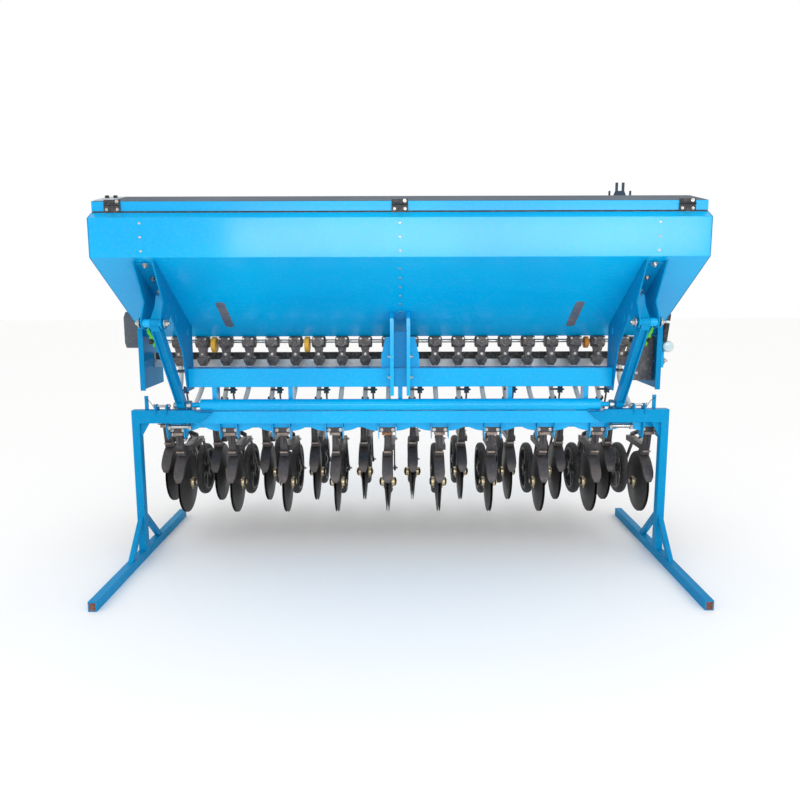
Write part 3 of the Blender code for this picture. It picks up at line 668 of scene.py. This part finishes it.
# ---- Seed hoses ----
# Ribbed pale grey hose from each outlet to its coulter, passed through a flat bar just under the outlets.
# Each has a black collar, half-way down in the rear rank, where a star-shaped adjuster stands beside it.
ROW_PITCH = 0.15
ROW_STAGGER = 0.236
FRONT_HUB_Y = 0.063
HUB_Z = 0.383
HOSE_RADIUS = 0.0148
HOSE_TOP = (0.110, 1.080)
HOSE_DROP = 0.440
HOSE_STRAIGHT = 0.10
SOCKET_AHEAD = 0.040
hose_plastic = finish_material(
    "ribbed_hose", (0.80, 0.78, 0.72, 1.0), (0.66, 0.63, 0.56, 1.0), dust=0.2, drift=14.0,
    gloss=(0.35, 0.5),
)
green_plastic = finish_material(
    "green_adjuster", (0.02, 0.075, 0.075, 1.0), (0.02, 0.05, 0.09, 1.0), gloss=(0.4, 0.55),
)


def row_x(index):
    return (index - (ROWS - 1) / 2) * ROW_PITCH


def rank_shift(index):
    """Even rows stand in the rear rank."""
    return ROW_STAGGER if index % 2 == 0 else 0.0


def hose_point(index, share):
    """A point on one hose, from its outlet (0) down to its coulter (1)."""
    top_x = (index - (ROWS - 1) / 2) * METER_PITCH
    low_x = row_x(index)
    top_y, top_z = HOSE_TOP
    low_y = FRONT_HUB_Y - SOCKET_AHEAD + rank_shift(index)
    ease = max(0.0, share - HOSE_STRAIGHT) / (1.0 - HOSE_STRAIGHT)
    ease = ease * ease * (3 - 2 * ease)
    return Vector(
        (top_x + (low_x - top_x) * ease, top_y + (low_y - top_y) * ease, top_z - share * HOSE_DROP)
    )


hoses = Shape()
HOSE_RINGS = 72
for index in range(ROWS):
    hoses.finish = 0
    points = [hose_point(index, step / HOSE_RINGS) for step in range(HOSE_RINGS + 1)]
    radii = [HOSE_RADIUS - 0.0012 * (step % 2) for step in range(HOSE_RINGS + 1)]
    hoses.tube_along(points, radii, 14)
    hoses.finish = 1
    collar = hose_point(index, 0.46 if index % 2 == 0 else 0.93)
    run = hose_point(index, 0.50) - hose_point(index, 0.42)
    hoses.turned(collar, run, [(0.0, 0.019), (0.003, 0.023), (0.011, 0.023), (0.014, 0.019)], 20)
hoses.piece("seed_hose_set", [hose_plastic, black_rubber], "root", "hose_plastic", "seed_hoses")
holder = Shape()
holder.block((-1.36, 0.089, 1.0405), (1.36, 0.131, 1.0475))
holder.finish = 1
for index in range(ROWS):
    holder.turned(
        hose_point(index, 0.075), (0, 0, 1),
        [(0.0, 0.0185), (0.0015, 0.021), (0.008, 0.021), (0.010, 0.0185)], 20,
    )
holder.piece("hose_holder_bar", [cast_grey, black_rubber], "root", "cast_iron", width=0.0008)
stars = Shape()
for index in range(0, ROWS, 2):
    centre = hose_point(index, 0.33) + Vector((0.047, -0.030, 0.0))
    outline = []
    for step in range(30):
        angle = 2 * math.pi * step / 30
        reach = 0.0205 + 0.0055 * math.cos(6 * angle)
        outline.append((centre.x + reach * math.cos(angle), centre.z + reach * math.sin(angle)))
    stars.finish = 0
    stars.along_y(outline, centre.y - 0.008, centre.y + 0.008)
    stars.turned(
        centre + Vector((0, -0.008, 0)), (0, -1, 0), [(0.0, 0.011), (0.006, 0.010), (0.008, 0.006)], 18,
    )
    stars.finish = 1
    stars.rod(centre, centre + Vector((0.0, 0.050, -0.135)), 0.0055)
    stars.block(
        (centre.x - 0.056, centre.y + 0.001, centre.z - 0.006),
        (centre.x, centre.y + 0.007, centre.z + 0.006),
    )
stars.piece("depth_adjusters", [green_plastic, cast_grey], "root", "black_plastic", width=0.0008)

# ---- Coulter frames ----
# Cast heads hung under the beam on clevis plates, with a waisted neck, a wide curved guard in front of the
# discs, a blade between them, and a trailing arm with a spring that carries the press wheel.
DISC_RADIUS = 0.1785
WHEEL_TRAIL = 0.390
WHEEL_Z = 0.365
HEAD_Y = -0.071
CARRIER_Z = (0.7455, 0.7795)
SLEEVE_EYE = [(0.0, 0.026), (0.0, 0.040), (0.002, 0.040), (0.002, 0.026)]
AXLE_BOSS = [(0.0, 0.016), (0.002, 0.019), (0.011, 0.019), (0.013, 0.015)]
coulter_grey = finish_material(
    "coulter_casting", (0.050, 0.050, 0.056, 1.0), (0.085, 0.075, 0.075, 1.0), metallic=0.3, dust=0.30,
    drift=12.0, grain=350.0, depth=0.35, gloss=(0.32, 0.5), dust_colour=(0.20, 0.13, 0.09, 1.0),
)
worn_edge = finish_material(
    "worn_edge", (0.34, 0.27, 0.23, 1.0), (0.20, 0.15, 0.13, 1.0), metallic=0.6, dust=0.3, drift=30.0,
    gloss=(0.35, 0.5),
)
rusty = finish_material(
    "rusty_block", (0.33, 0.13, 0.05, 1.0), (0.20, 0.10, 0.06, 1.0), metallic=0.1, dust=0.4, drift=25.0,
    grain=260.0, depth=0.5, gloss=(0.6, 0.8),
)


def add_spring(shape, start, end, radius, wire, turns):
    run = Vector(end) - Vector(start)
    along = run.normalized()
    across = along.orthogonal().normalized()
    third = along.cross(across)
    points = []
    for step in range(turns * 10 + 1):
        angle = 2 * math.pi * step / 10
        turned_out = (across * math.cos(angle) + third * math.sin(angle)) * radius
        points.append(Vector(start) + run * step / (turns * 10) + turned_out)
    rings = []
    for i, centre in enumerate(points):
        way = (points[min(i + 1, len(points) - 1)] - points[max(i - 1, 0)]).normalized()
        outward = (centre - (Vector(start) + along * (centre - Vector(start)).dot(along))).normalized()
        side_way = way.cross(outward)
        rings.append([centre + (outward * math.cos(t) + side_way * math.sin(t)) * wire
                      for t in [2 * math.pi * k / 6 for k in range(6)]])
    shape.loft(rings)


def add_coulter(shape, index):
    x = row_x(index)
    shift = rank_shift(index)
    hub_y = FRONT_HUB_Y + shift
    head_y = HEAD_Y + shift
    shape.finish = 0
    # Curved guard, 64 mm wide, narrower at its foot.
    rings = []
    for step in range(9):
        angle = math.radians(167 - 8.2 * step)
        half = 0.032 - 0.0045 * max(0, 2 - step) ** 2
        inner, outer = DISC_RADIUS + 0.009, DISC_RADIUS + (0.016 if step == 0 else 0.021)
        a = (hub_y + inner * math.cos(angle), HUB_Z + inner * math.sin(angle))
        b = (hub_y + outer * math.cos(angle), HUB_Z + outer * math.sin(angle))
        rings.append([(x - half, *a), (x + half, *a), (x + half * 0.9, *b), (x - half * 0.9, *b)])
    shape.loft(rings)
    # Neck, waisted, with a rib on its front.
    rings = []
    for z, y, half_x, half_y in (
        (0.742, head_y, 0.0225, 0.017), (0.700, head_y + 0.001, 0.017, 0.015),
        (0.640, head_y + 0.018, 0.0185, 0.016), (0.600, head_y + 0.045, 0.022, 0.024),
        (0.566, head_y + 0.062, 0.025, 0.030),
    ):
        rings.append(
            [
                (x - half_x, y - half_y, z), (x + half_x, y - half_y, z), (x + half_x, y + half_y, z),
                (x - half_x, y + half_y, z),
            ]
        )
    shape.loft(rings)
    shape.block((x - 0.004, head_y - 0.022, 0.640), (x + 0.004, head_y - 0.012, 0.715))
    shape.block((x - 0.045, head_y - 0.019, 0.716), (x + 0.045, head_y + 0.019, 0.7445))
    # Blade between the discs and its eye on the sleeve.
    blade = [(hub_y - 0.098, 0.556), (hub_y - 0.020, 0.588), (hub_y + 0.030, HUB_Z + 0.040),
             (hub_y - 0.030, HUB_Z + 0.040)]
    shape.along_x(blade, x - 0.001, x + 0.001)
    shape.turned((x - 0.001, hub_y, HUB_Z), (1, 0, 0), SLEEVE_EYE, 28, closed=True)
    # Seed boot, a wedge hung from the eye that thins towards its tip, with a flat shoe under it.
    rings = []
    for drop, front, rear, half in ((0.030, -0.030, 0.030, 0.0085), (0.090, -0.034, 0.016, 0.0055),
                                    (0.148, -0.035, 0.005, 0.0025)):
        low_y, high_y, z = hub_y + front, hub_y + rear, HUB_Z - drop
        rings.append([(x - half * 0.3, low_y, z), (x + half * 0.3, low_y, z), (x + half, low_y + 0.012, z),
                      (x + half, high_y, z), (x - half, high_y, z), (x - half, low_y + 0.012, z)])
    shape.loft(rings)
    shoe = [(hub_y - 0.042, HUB_Z - 0.130), (hub_y + 0.020, HUB_Z - 0.130), (hub_y + 0.012, HUB_Z - 0.174),
            (hub_y - 0.030, HUB_Z - 0.174)]
    shape.along_x(shoe, x - 0.0009, x + 0.0009)
    # Trailing arm, dropped end and axle.
    wheel_y = hub_y + WHEEL_TRAIL
    shape.block((x - 0.008, hub_y - 0.046, 0.586), (x + 0.042, hub_y + 0.225, 0.618))
    drop = Vector((0.0, wheel_y - (hub_y + 0.205), WHEEL_Z - 0.612))
    way = drop.normalized()
    out = Vector((0.0, way.z, -way.y)) * 0.013
    start = Vector((0.0, hub_y + 0.205, 0.612))
    corners = [start + out, start + drop + out, start + drop - out, start - out]
    shape.along_x([(p.y, p.z) for p in corners], x + 0.0325, x + 0.0415)
    shape.turned((x + 0.0315, wheel_y, WHEEL_Z), (1, 0, 0), AXLE_BOSS, 24)
    shape.finish = 1
    shape.rod((x - 0.027, wheel_y, WHEEL_Z), (x + 0.033, wheel_y, WHEEL_Z), 0.0078, 16)
    shape.bolt((x + 0.0425, wheel_y, WHEEL_Z), (1, 0, 0), 0.018)
    shape.bolt((x + 0.0425, hub_y + 0.190, 0.604), (1, 0, 0), 0.018)
    for side in (-1, 1):
        shape.bolt((x + side * 0.033, head_y - 0.019, 0.730), (0, -1, 0), 0.013)
    shape.finish = 2
    shape.block((x - 0.022, head_y + 0.004, 0.589), (x + 0.022, head_y + 0.014, 0.598))
    shape.finish = 4
    add_spring(
        shape, (x + 0.012, hub_y + 0.010, 0.690), (x + 0.012, hub_y + 0.180, 0.632), 0.011, 0.0024, 9,
    )
    shape.finish = 0
    shape.rod((x + 0.012, hub_y - 0.062, 0.714), (x + 0.012, hub_y + 0.200, 0.625), 0.0045, 12)
    shape.finish = 3 if index in (8, 9) else 2
    shape.block((x - 0.030, head_y - 0.023, 0.699), (x + 0.030, head_y + 0.016, 0.715))


COULTER_FINISHES = [coulter_grey, plated, worn_edge, rusty, black_steel]
for rank_name, first, node in (("front", 1, "coulters_front"), ("rear", 0, "coulters_rear")):
    rank = Shape()
    for index in range(first, ROWS, 2):
        add_coulter(rank, index)
    rank.piece(
        f"coulter_frames_{rank_name}", COULTER_FINISHES, "root", "coulter_steel", node, width=0.0012,
    )
carrier = Shape()
for rank_name, shift, ends in (("front", 0.0, (-1.33, 1.445)), ("rear", ROW_STAGGER, (-1.47, 1.33))):
    y = HEAD_Y + shift
    carrier.block((ends[0], y - 0.024, CARRIER_Z[0]), (ends[1], y + 0.024, CARRIER_Z[1]))
# Scalloped apron under the lower beam, hanging deeper beside each clevis, and the clevis plates.
apron = Shape()
for index in range(1, ROWS, 2):
    x = row_x(index)
    for offset in (-0.0505, 0.0465):
        clevis = [
            (-0.140, CARRIER_Z[1]), (-0.045, CARRIER_Z[1]), (-0.052, 0.690), (-0.110, 0.682),
            (-0.128, 0.700),
        ]
        apron.along_x(clevis, x + offset, x + offset + 0.004)
for index in range(1, ROWS - 2, 2):
    low_x, high_x = row_x(index) + 0.0525, row_x(index + 2) - 0.0525
    outline = [(low_x, CARRIER_Z[1]), (high_x, CARRIER_Z[1])]
    for step in range(13):
        share = 1 - step / 12
        x = low_x + (high_x - low_x) * share
        bell = 1 - abs(2 * share - 1)
        outline.append((x, 0.728 + 0.030 * bell * bell))
    apron.along_y(outline, -0.108, -0.102)
apron.piece("clevis_apron", [gloss_blue], "root", "blue_paint", width=0.0008)
carrier.piece("coulter_carriers", [gloss_blue], "root", "blue_paint", width=0.002)

# ---- Double discs ----
# Two dished, hardened discs with a bevelled rim on one sleeve, black-dipped. On each side a gold-passivated
# flange holds a black cap with a gold nut. Each pair turns on its own hub.
DISC_PROFILE = [(0.0180, 0.0205), (0.0235, 0.0205), (0.0235, 0.0370), (0.0210, 0.0460),
                (0.0092, DISC_RADIUS - 0.014), (0.0072, DISC_RADIUS - 0.001), (0.0062, DISC_RADIUS),
                (0.0066, DISC_RADIUS - 0.012), (0.0166, 0.040)]
FLANGE_PROFILE = [(0.0225, 0.0300), (0.0275, 0.0300), (0.0290, 0.0280), (0.0390, 0.0270)]
CAP_PROFILE = [(0.0390, 0.0262), (0.0425, 0.0258), (0.0470, 0.0220), (0.0495, 0.0160), (0.0495, 0.0120)]
NUT_PROFILE = [(0.0485, 0.0130), (0.0520, 0.0125), (0.0532, 0.0060)]
FLANGE_BOLT_CIRCLE = 0.0365
disc_black = finish_material(
    "dipped_disc", (0.022, 0.021, 0.022, 1.0), (0.038, 0.036, 0.037, 1.0), metallic=0.15, dust=0.15,
    drift=7.0, grain=160.0, depth=0.12, gloss=(0.42, 0.56), specular=0.25,
    dust_colour=(0.12, 0.105, 0.10, 1.0),
)
gold_zinc = finish_material(
    "gold_passivate", (0.80, 0.66, 0.40, 1.0), (0.60, 0.50, 0.32, 1.0), metallic=0.75, dust=0.15,
    drift=60.0, gloss=(0.25, 0.42), dust_colour=(0.10, 0.08, 0.06, 1.0),
)
for index in range(ROWS):
    pair = Shape()
    hub = Vector((row_x(index), FRONT_HUB_Y + rank_shift(index), HUB_Z))
    for side in (-1, 1):
        pair.finish = 0
        pair.turned(hub, (side, 0, 0), DISC_PROFILE, 72, closed=True)
        pair.finish = 1
        pair.turned(hub, (side, 0, 0), FLANGE_PROFILE, 36)
        pair.turned(hub, (side, 0, 0), NUT_PROFILE, 24)
        for bolt_step in range(3):
            angle = 2 * math.pi * bolt_step / 3 + 0.4
            place = hub + Vector((side * 0.0222, FLANGE_BOLT_CIRCLE * math.cos(angle),
                                  FLANGE_BOLT_CIRCLE * math.sin(angle)))
            pair.bolt(place, (side, 0, 0), 0.0085, washer=False)
        pair.finish = 2
        pair.turned(hub, (side, 0, 0), CAP_PROFILE, 36)
    pair.finish = 0
    pair.turned(hub - Vector((0.0220, 0, 0)), (1, 0, 0), [(0.0, 0.0205), (0.044, 0.0205)], 32)
    number = f"{index + 1:02d}"
    pair.piece(
        f"disc_pair_{number}", [disc_black, gold_zinc, black_steel], f"disc_{number}", "disc_steel",
        f"disc_{number}",
    )

# ---- Press wheels ----
# Soft black tyre with a crowned tread on a six-spoke moulded rim, turning freely on a plain axle.
tyre_black = finish_material(
    "tyre_rubber", (0.018, 0.018, 0.019, 1.0), (0.032, 0.031, 0.031, 1.0), dust=0.35, drift=10.0,
    grain=260.0, depth=0.5, gloss=(0.55, 0.75), dust_colour=(0.12, 0.115, 0.11, 1.0),
)
rim_black = finish_material(
    "moulded_rim", (0.022, 0.022, 0.024, 1.0), (0.035, 0.035, 0.036, 1.0), dust=0.3, gloss=(0.32, 0.5),
    dust_colour=(0.13, 0.125, 0.12, 1.0),
)
WHEEL_RADIUS = 0.165
TYRE_PROFILE = [(0.003, 0.131), (0.0, 0.139), (0.001, 0.149), (0.006, 0.158), (0.015, 0.1635),
                (0.025, WHEEL_RADIUS), (0.035, 0.1635), (0.044, 0.158), (0.049, 0.149), (0.050, 0.139),
                (0.047, 0.131)]
RIM_PROFILE = [(0.004, 0.122), (0.002, 0.1325), (0.048, 0.1325), (0.046, 0.122)]
HUB_PROFILE = [
    (0.004, 0.0092), (0.003, 0.024), (0.007, 0.030), (0.043, 0.030), (0.047, 0.024), (0.046, 0.0092),
]
# Spoke sections: distance from the axle, half width and half thickness.
SPOKE_SECTIONS = (
    (0.027, 0.014, 0.012), (0.060, 0.010, 0.009), (0.100, 0.011, 0.009), (0.1235, 0.018, 0.012),
)
SPOKES = 6
for index in range(ROWS):
    wheel = Shape()
    hub = Vector((row_x(index), FRONT_HUB_Y + rank_shift(index) + WHEEL_TRAIL, WHEEL_Z))
    start = hub - Vector((0.025, 0, 0))
    wheel.finish = 0
    wheel.turned(start, (1, 0, 0), TYRE_PROFILE, 64, closed=True)
    wheel.finish = 1
    wheel.turned(start, (1, 0, 0), RIM_PROFILE, 64, closed=True)
    wheel.turned(start, (1, 0, 0), HUB_PROFILE, 32, closed=True)
    for spoke in range(SPOKES):
        angle = 2 * math.pi * spoke / SPOKES + 0.3
        out = Vector((0.0, math.cos(angle), math.sin(angle)))
        across = Vector((0.0, -math.sin(angle), math.cos(angle)))
        rings = []
        for reach, wide, thick in SPOKE_SECTIONS:
            centre = hub + out * reach
            edge = across * wide
            face = Vector((thick, 0, 0))
            rings.append(
                [centre + edge + face, centre + edge - face, centre - edge - face, centre - edge + face]
            )
        wheel.loft(rings)
    number = f"{index + 1:02d}"
    wheel.piece(f"spoked_wheel_{number}", [tyre_black, rim_black], f"press_wheel_{number}", "tyre_rubber",
                f"press_wheel_{number}", width=0.0008)

# ---- Drive ----
# Dark gearbox inside the right end plate; outside it a black canister with a pale band, a blue bracket, a
# round sight glass and the shaft end. A closed case covers the chain on the left.
gear_grey = finish_material(
    "gearbox_casting", (0.075, 0.078, 0.085, 1.0), (0.12, 0.11, 0.11, 1.0), metallic=0.2, dust=0.35,
    drift=9.0, grain=240.0, depth=0.4, gloss=(0.35, 0.55),
)
pale_glass = finish_material(
    "pale_sight_glass", (0.42, 0.60, 0.62, 1.0), (0.55, 0.68, 0.68, 1.0), gloss=(0.1, 0.2), coat=0.6,
)
white_band = finish_material(
    "white_band", (0.80, 0.80, 0.78, 1.0), (0.72, 0.72, 0.70, 1.0), gloss=(0.4, 0.5),
)
lime = finish_material(
    "lime_scale_plate", (0.12, 0.62, 0.03, 1.0), (0.09, 0.52, 0.03, 1.0), gloss=(0.35, 0.5),
)
drive = Shape()
drive.along_x(
    [(0.080, 0.990), (0.185, 0.990), (0.185, 1.160), (0.150, 1.245), (0.080, 1.245)], 1.362, 1.488,
)
drive.turned((1.340, 0.130, 1.100), (1, 0, 0), [(0.0, 0.030), (0.010, 0.036), (0.026, 0.036)], 28)
drive.along_x([(0.070, 1.020), (0.0795, 1.020), (0.0795, 1.210), (0.070, 1.210)], 1.375, 1.475)
DRIVE_SHAFT = (0.130, 1.100)
GLASS = (1.567, 1.190)
CANISTER_FOOT = Vector((1.552, 0.122, 1.162))
CANISTER_TOP = Vector((1.576, 0.122, 1.389))
canister = CANISTER_TOP - CANISTER_FOOT
drive.finish = 1
drive.turned(CANISTER_FOOT, canister, [(0.0, 0.017), (0.012, 0.0215), (0.214, 0.0215), (0.228, 0.014)], 32)
drive.block((1.5065, 0.108, 1.150), (1.540, 0.150, 1.200))
drive.finish = 2
drive.turned(CANISTER_FOOT + canister * 0.72, canister, [(0.0, 0.0222), (0.014, 0.0222)], 32)
drive.finish = 3
drive.block((1.5060, 0.104, 1.062), (1.5600, 0.110, 1.230))
drive.block((1.5060, 0.104, 1.062), (1.5120, 0.158, 1.230))
drive.finish = 4
drive.turned(
    (GLASS[0], 0.106, GLASS[1]), (0, -1, 0),
    [(0.0, 0.030), (0.004, 0.033), (0.040, 0.033), (0.045, 0.030)], 36,
)
drive.rod((1.470, *DRIVE_SHAFT), (1.580, *DRIVE_SHAFT), 0.012)
drive.bolt((1.566, *DRIVE_SHAFT), (1, 0, 0), 0.028)
for y in (0.095, 0.170):
    for z in (1.010, 1.140):
        drive.bolt((1.362, y, z), (-1, 0, 0), 0.014)
for z in (1.035, 1.090, 1.145, 1.195):
    drive.bolt((1.390, 0.070, z), (0, -1, 0), 0.010)
drive.finish = 5
drive.turned((GLASS[0], 0.061, GLASS[1]), (0, -1, 0), [(0.0, 0.027), (0.003, 0.025), (0.005, 0.016)], 36)
drive.piece(
    "drive_unit", [gear_grey, black_steel, white_band, gloss_blue, plated, pale_glass], "root",
    "black_plastic", "drive_gearbox", width=0.0015,
)
for side_name, side in SIDES:
    quadrant = Shape()
    outline = [(1.409, 1.205), (1.416, 1.250), (1.435, 1.290), (1.447, 1.314)]
    for step in range(9):
        share = step / 8
        tooth = 0.009 if step % 2 else 0.0
        outline.append((1.462 - 0.040 * share - tooth * 0.8, 1.306 - 0.108 * share - tooth * 0.2))
    quadrant.along_y([(side * x, z) for x, z in outline], 0.000, 0.006)
    quadrant.finish = 1
    quadrant.rod((side * 1.430, -0.004, 1.232), (side * 1.430, 0.128 if side < 0 else 0.084, 1.232), 0.008)
    quadrant.bolt((side * 1.430, -0.001, 1.232), (0, -1, 0), 0.020)
    quadrant.piece(
        f"rate_quadrant_{side_name}", [lime, black_steel], "root", "black_plastic", width=0.0006,
    )
cover_grey = finish_material(
    "chain_cover_grey", (0.100, 0.115, 0.135, 1.0), (0.075, 0.085, 0.100, 1.0), dust=0.10,
    gloss=(0.40, 0.55), specular=0.2,
)
refined_panel("chain_case", "chain_cover", cover_grey, "black_plastic", width=0.006)
case_low, case_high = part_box("chain_case")
cover_trim = Shape()
for y in (case_low.y + 0.030, case_high.y - 0.030):
    for z in (case_low.z + 0.030, case_high.z - 0.030):
        cover_trim.bolt((case_low.x + 0.0055, y, z), (-1, 0, 0), 0.011, height=0.4, washer=False)
cover_trim.piece("chain_cover_bolts", [plated], "root", "zinc_sheet")

# ---- Stand fittings ----
# The foot tubes are open at the ends, where the red-brown primer shows; pins with rings lock the arms.
primer = finish_material(
    "red_primer", (0.17, 0.055, 0.035, 1.0), (0.10, 0.04, 0.03, 1.0), dust=0.3, drift=30.0, grain=300.0,
    depth=0.3, gloss=(0.6, 0.8),
)
FOOT_X = (1.458, 1.500)
ARM_PIN = (-0.156, 0.882)
CROSS_PIN = (-0.146, 0.762)
PIN_HEAD = [(0.0, 0.018), (0.003, 0.021), (0.015, 0.021), (0.018, 0.016)]
for side_name, side in SIDES:
    low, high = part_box(f"stand_{side_name}")
    ends = Shape()
    for y in (low.y, high.y):
        ends.block(
            (side * (FOOT_X[0] + 0.005), y - 0.0004, 0.005),
            (side * (FOOT_X[1] - 0.005), y + 0.0004, 0.045),
        )
    ends.piece(f"foot_tube_mouths_{side_name}", [primer], "root", "blue_paint")
    pins = Shape()
    pins.rod((side * 1.285, *ARM_PIN), (side * 1.385, *ARM_PIN), 0.007)
    for x in (1.290, 1.376):
        pins.turned((side * x, *ARM_PIN), (side, 0, 0), [(0.0, 0.012), (0.004, 0.012)], 20)
    pins.rod((side * 1.185, *CROSS_PIN), (side * 1.300, *CROSS_PIN), 0.0125)
    for x in (1.176, 1.290):
        pins.turned((side * x, *CROSS_PIN), (side, 0, 0), PIN_HEAD, 6)
    pins.piece(f"stand_pins_{side_name}", [plated], "root", "zinc_sheet", width=0.0006)
    post = Shape()
    post.block((side * 1.413, -0.150, 0.8615), (side * 1.433, -0.142, 0.938))
    post.turned((side * 1.423, -0.151, 0.930), (0, -1, 0), [(0.0, 0.010), (0.003, 0.010)], 20)
    post.piece(f"pin_post_{side_name}", [shaded_blue], "root", "blue_paint", width=0.0008)
    wire = Shape()
    points = []
    for step in range(25):
        share = step / 24
        sag = 0.010 * math.sin(math.pi * share)
        points.append((side * (1.385 + 0.040 * share), -0.158, 0.884 + 0.036 * share + sag))
    wire.tube_along(points, 0.0017, 8)
    wire.piece(f"pin_clip_{side_name}", [black_steel], "root", "black_plastic")
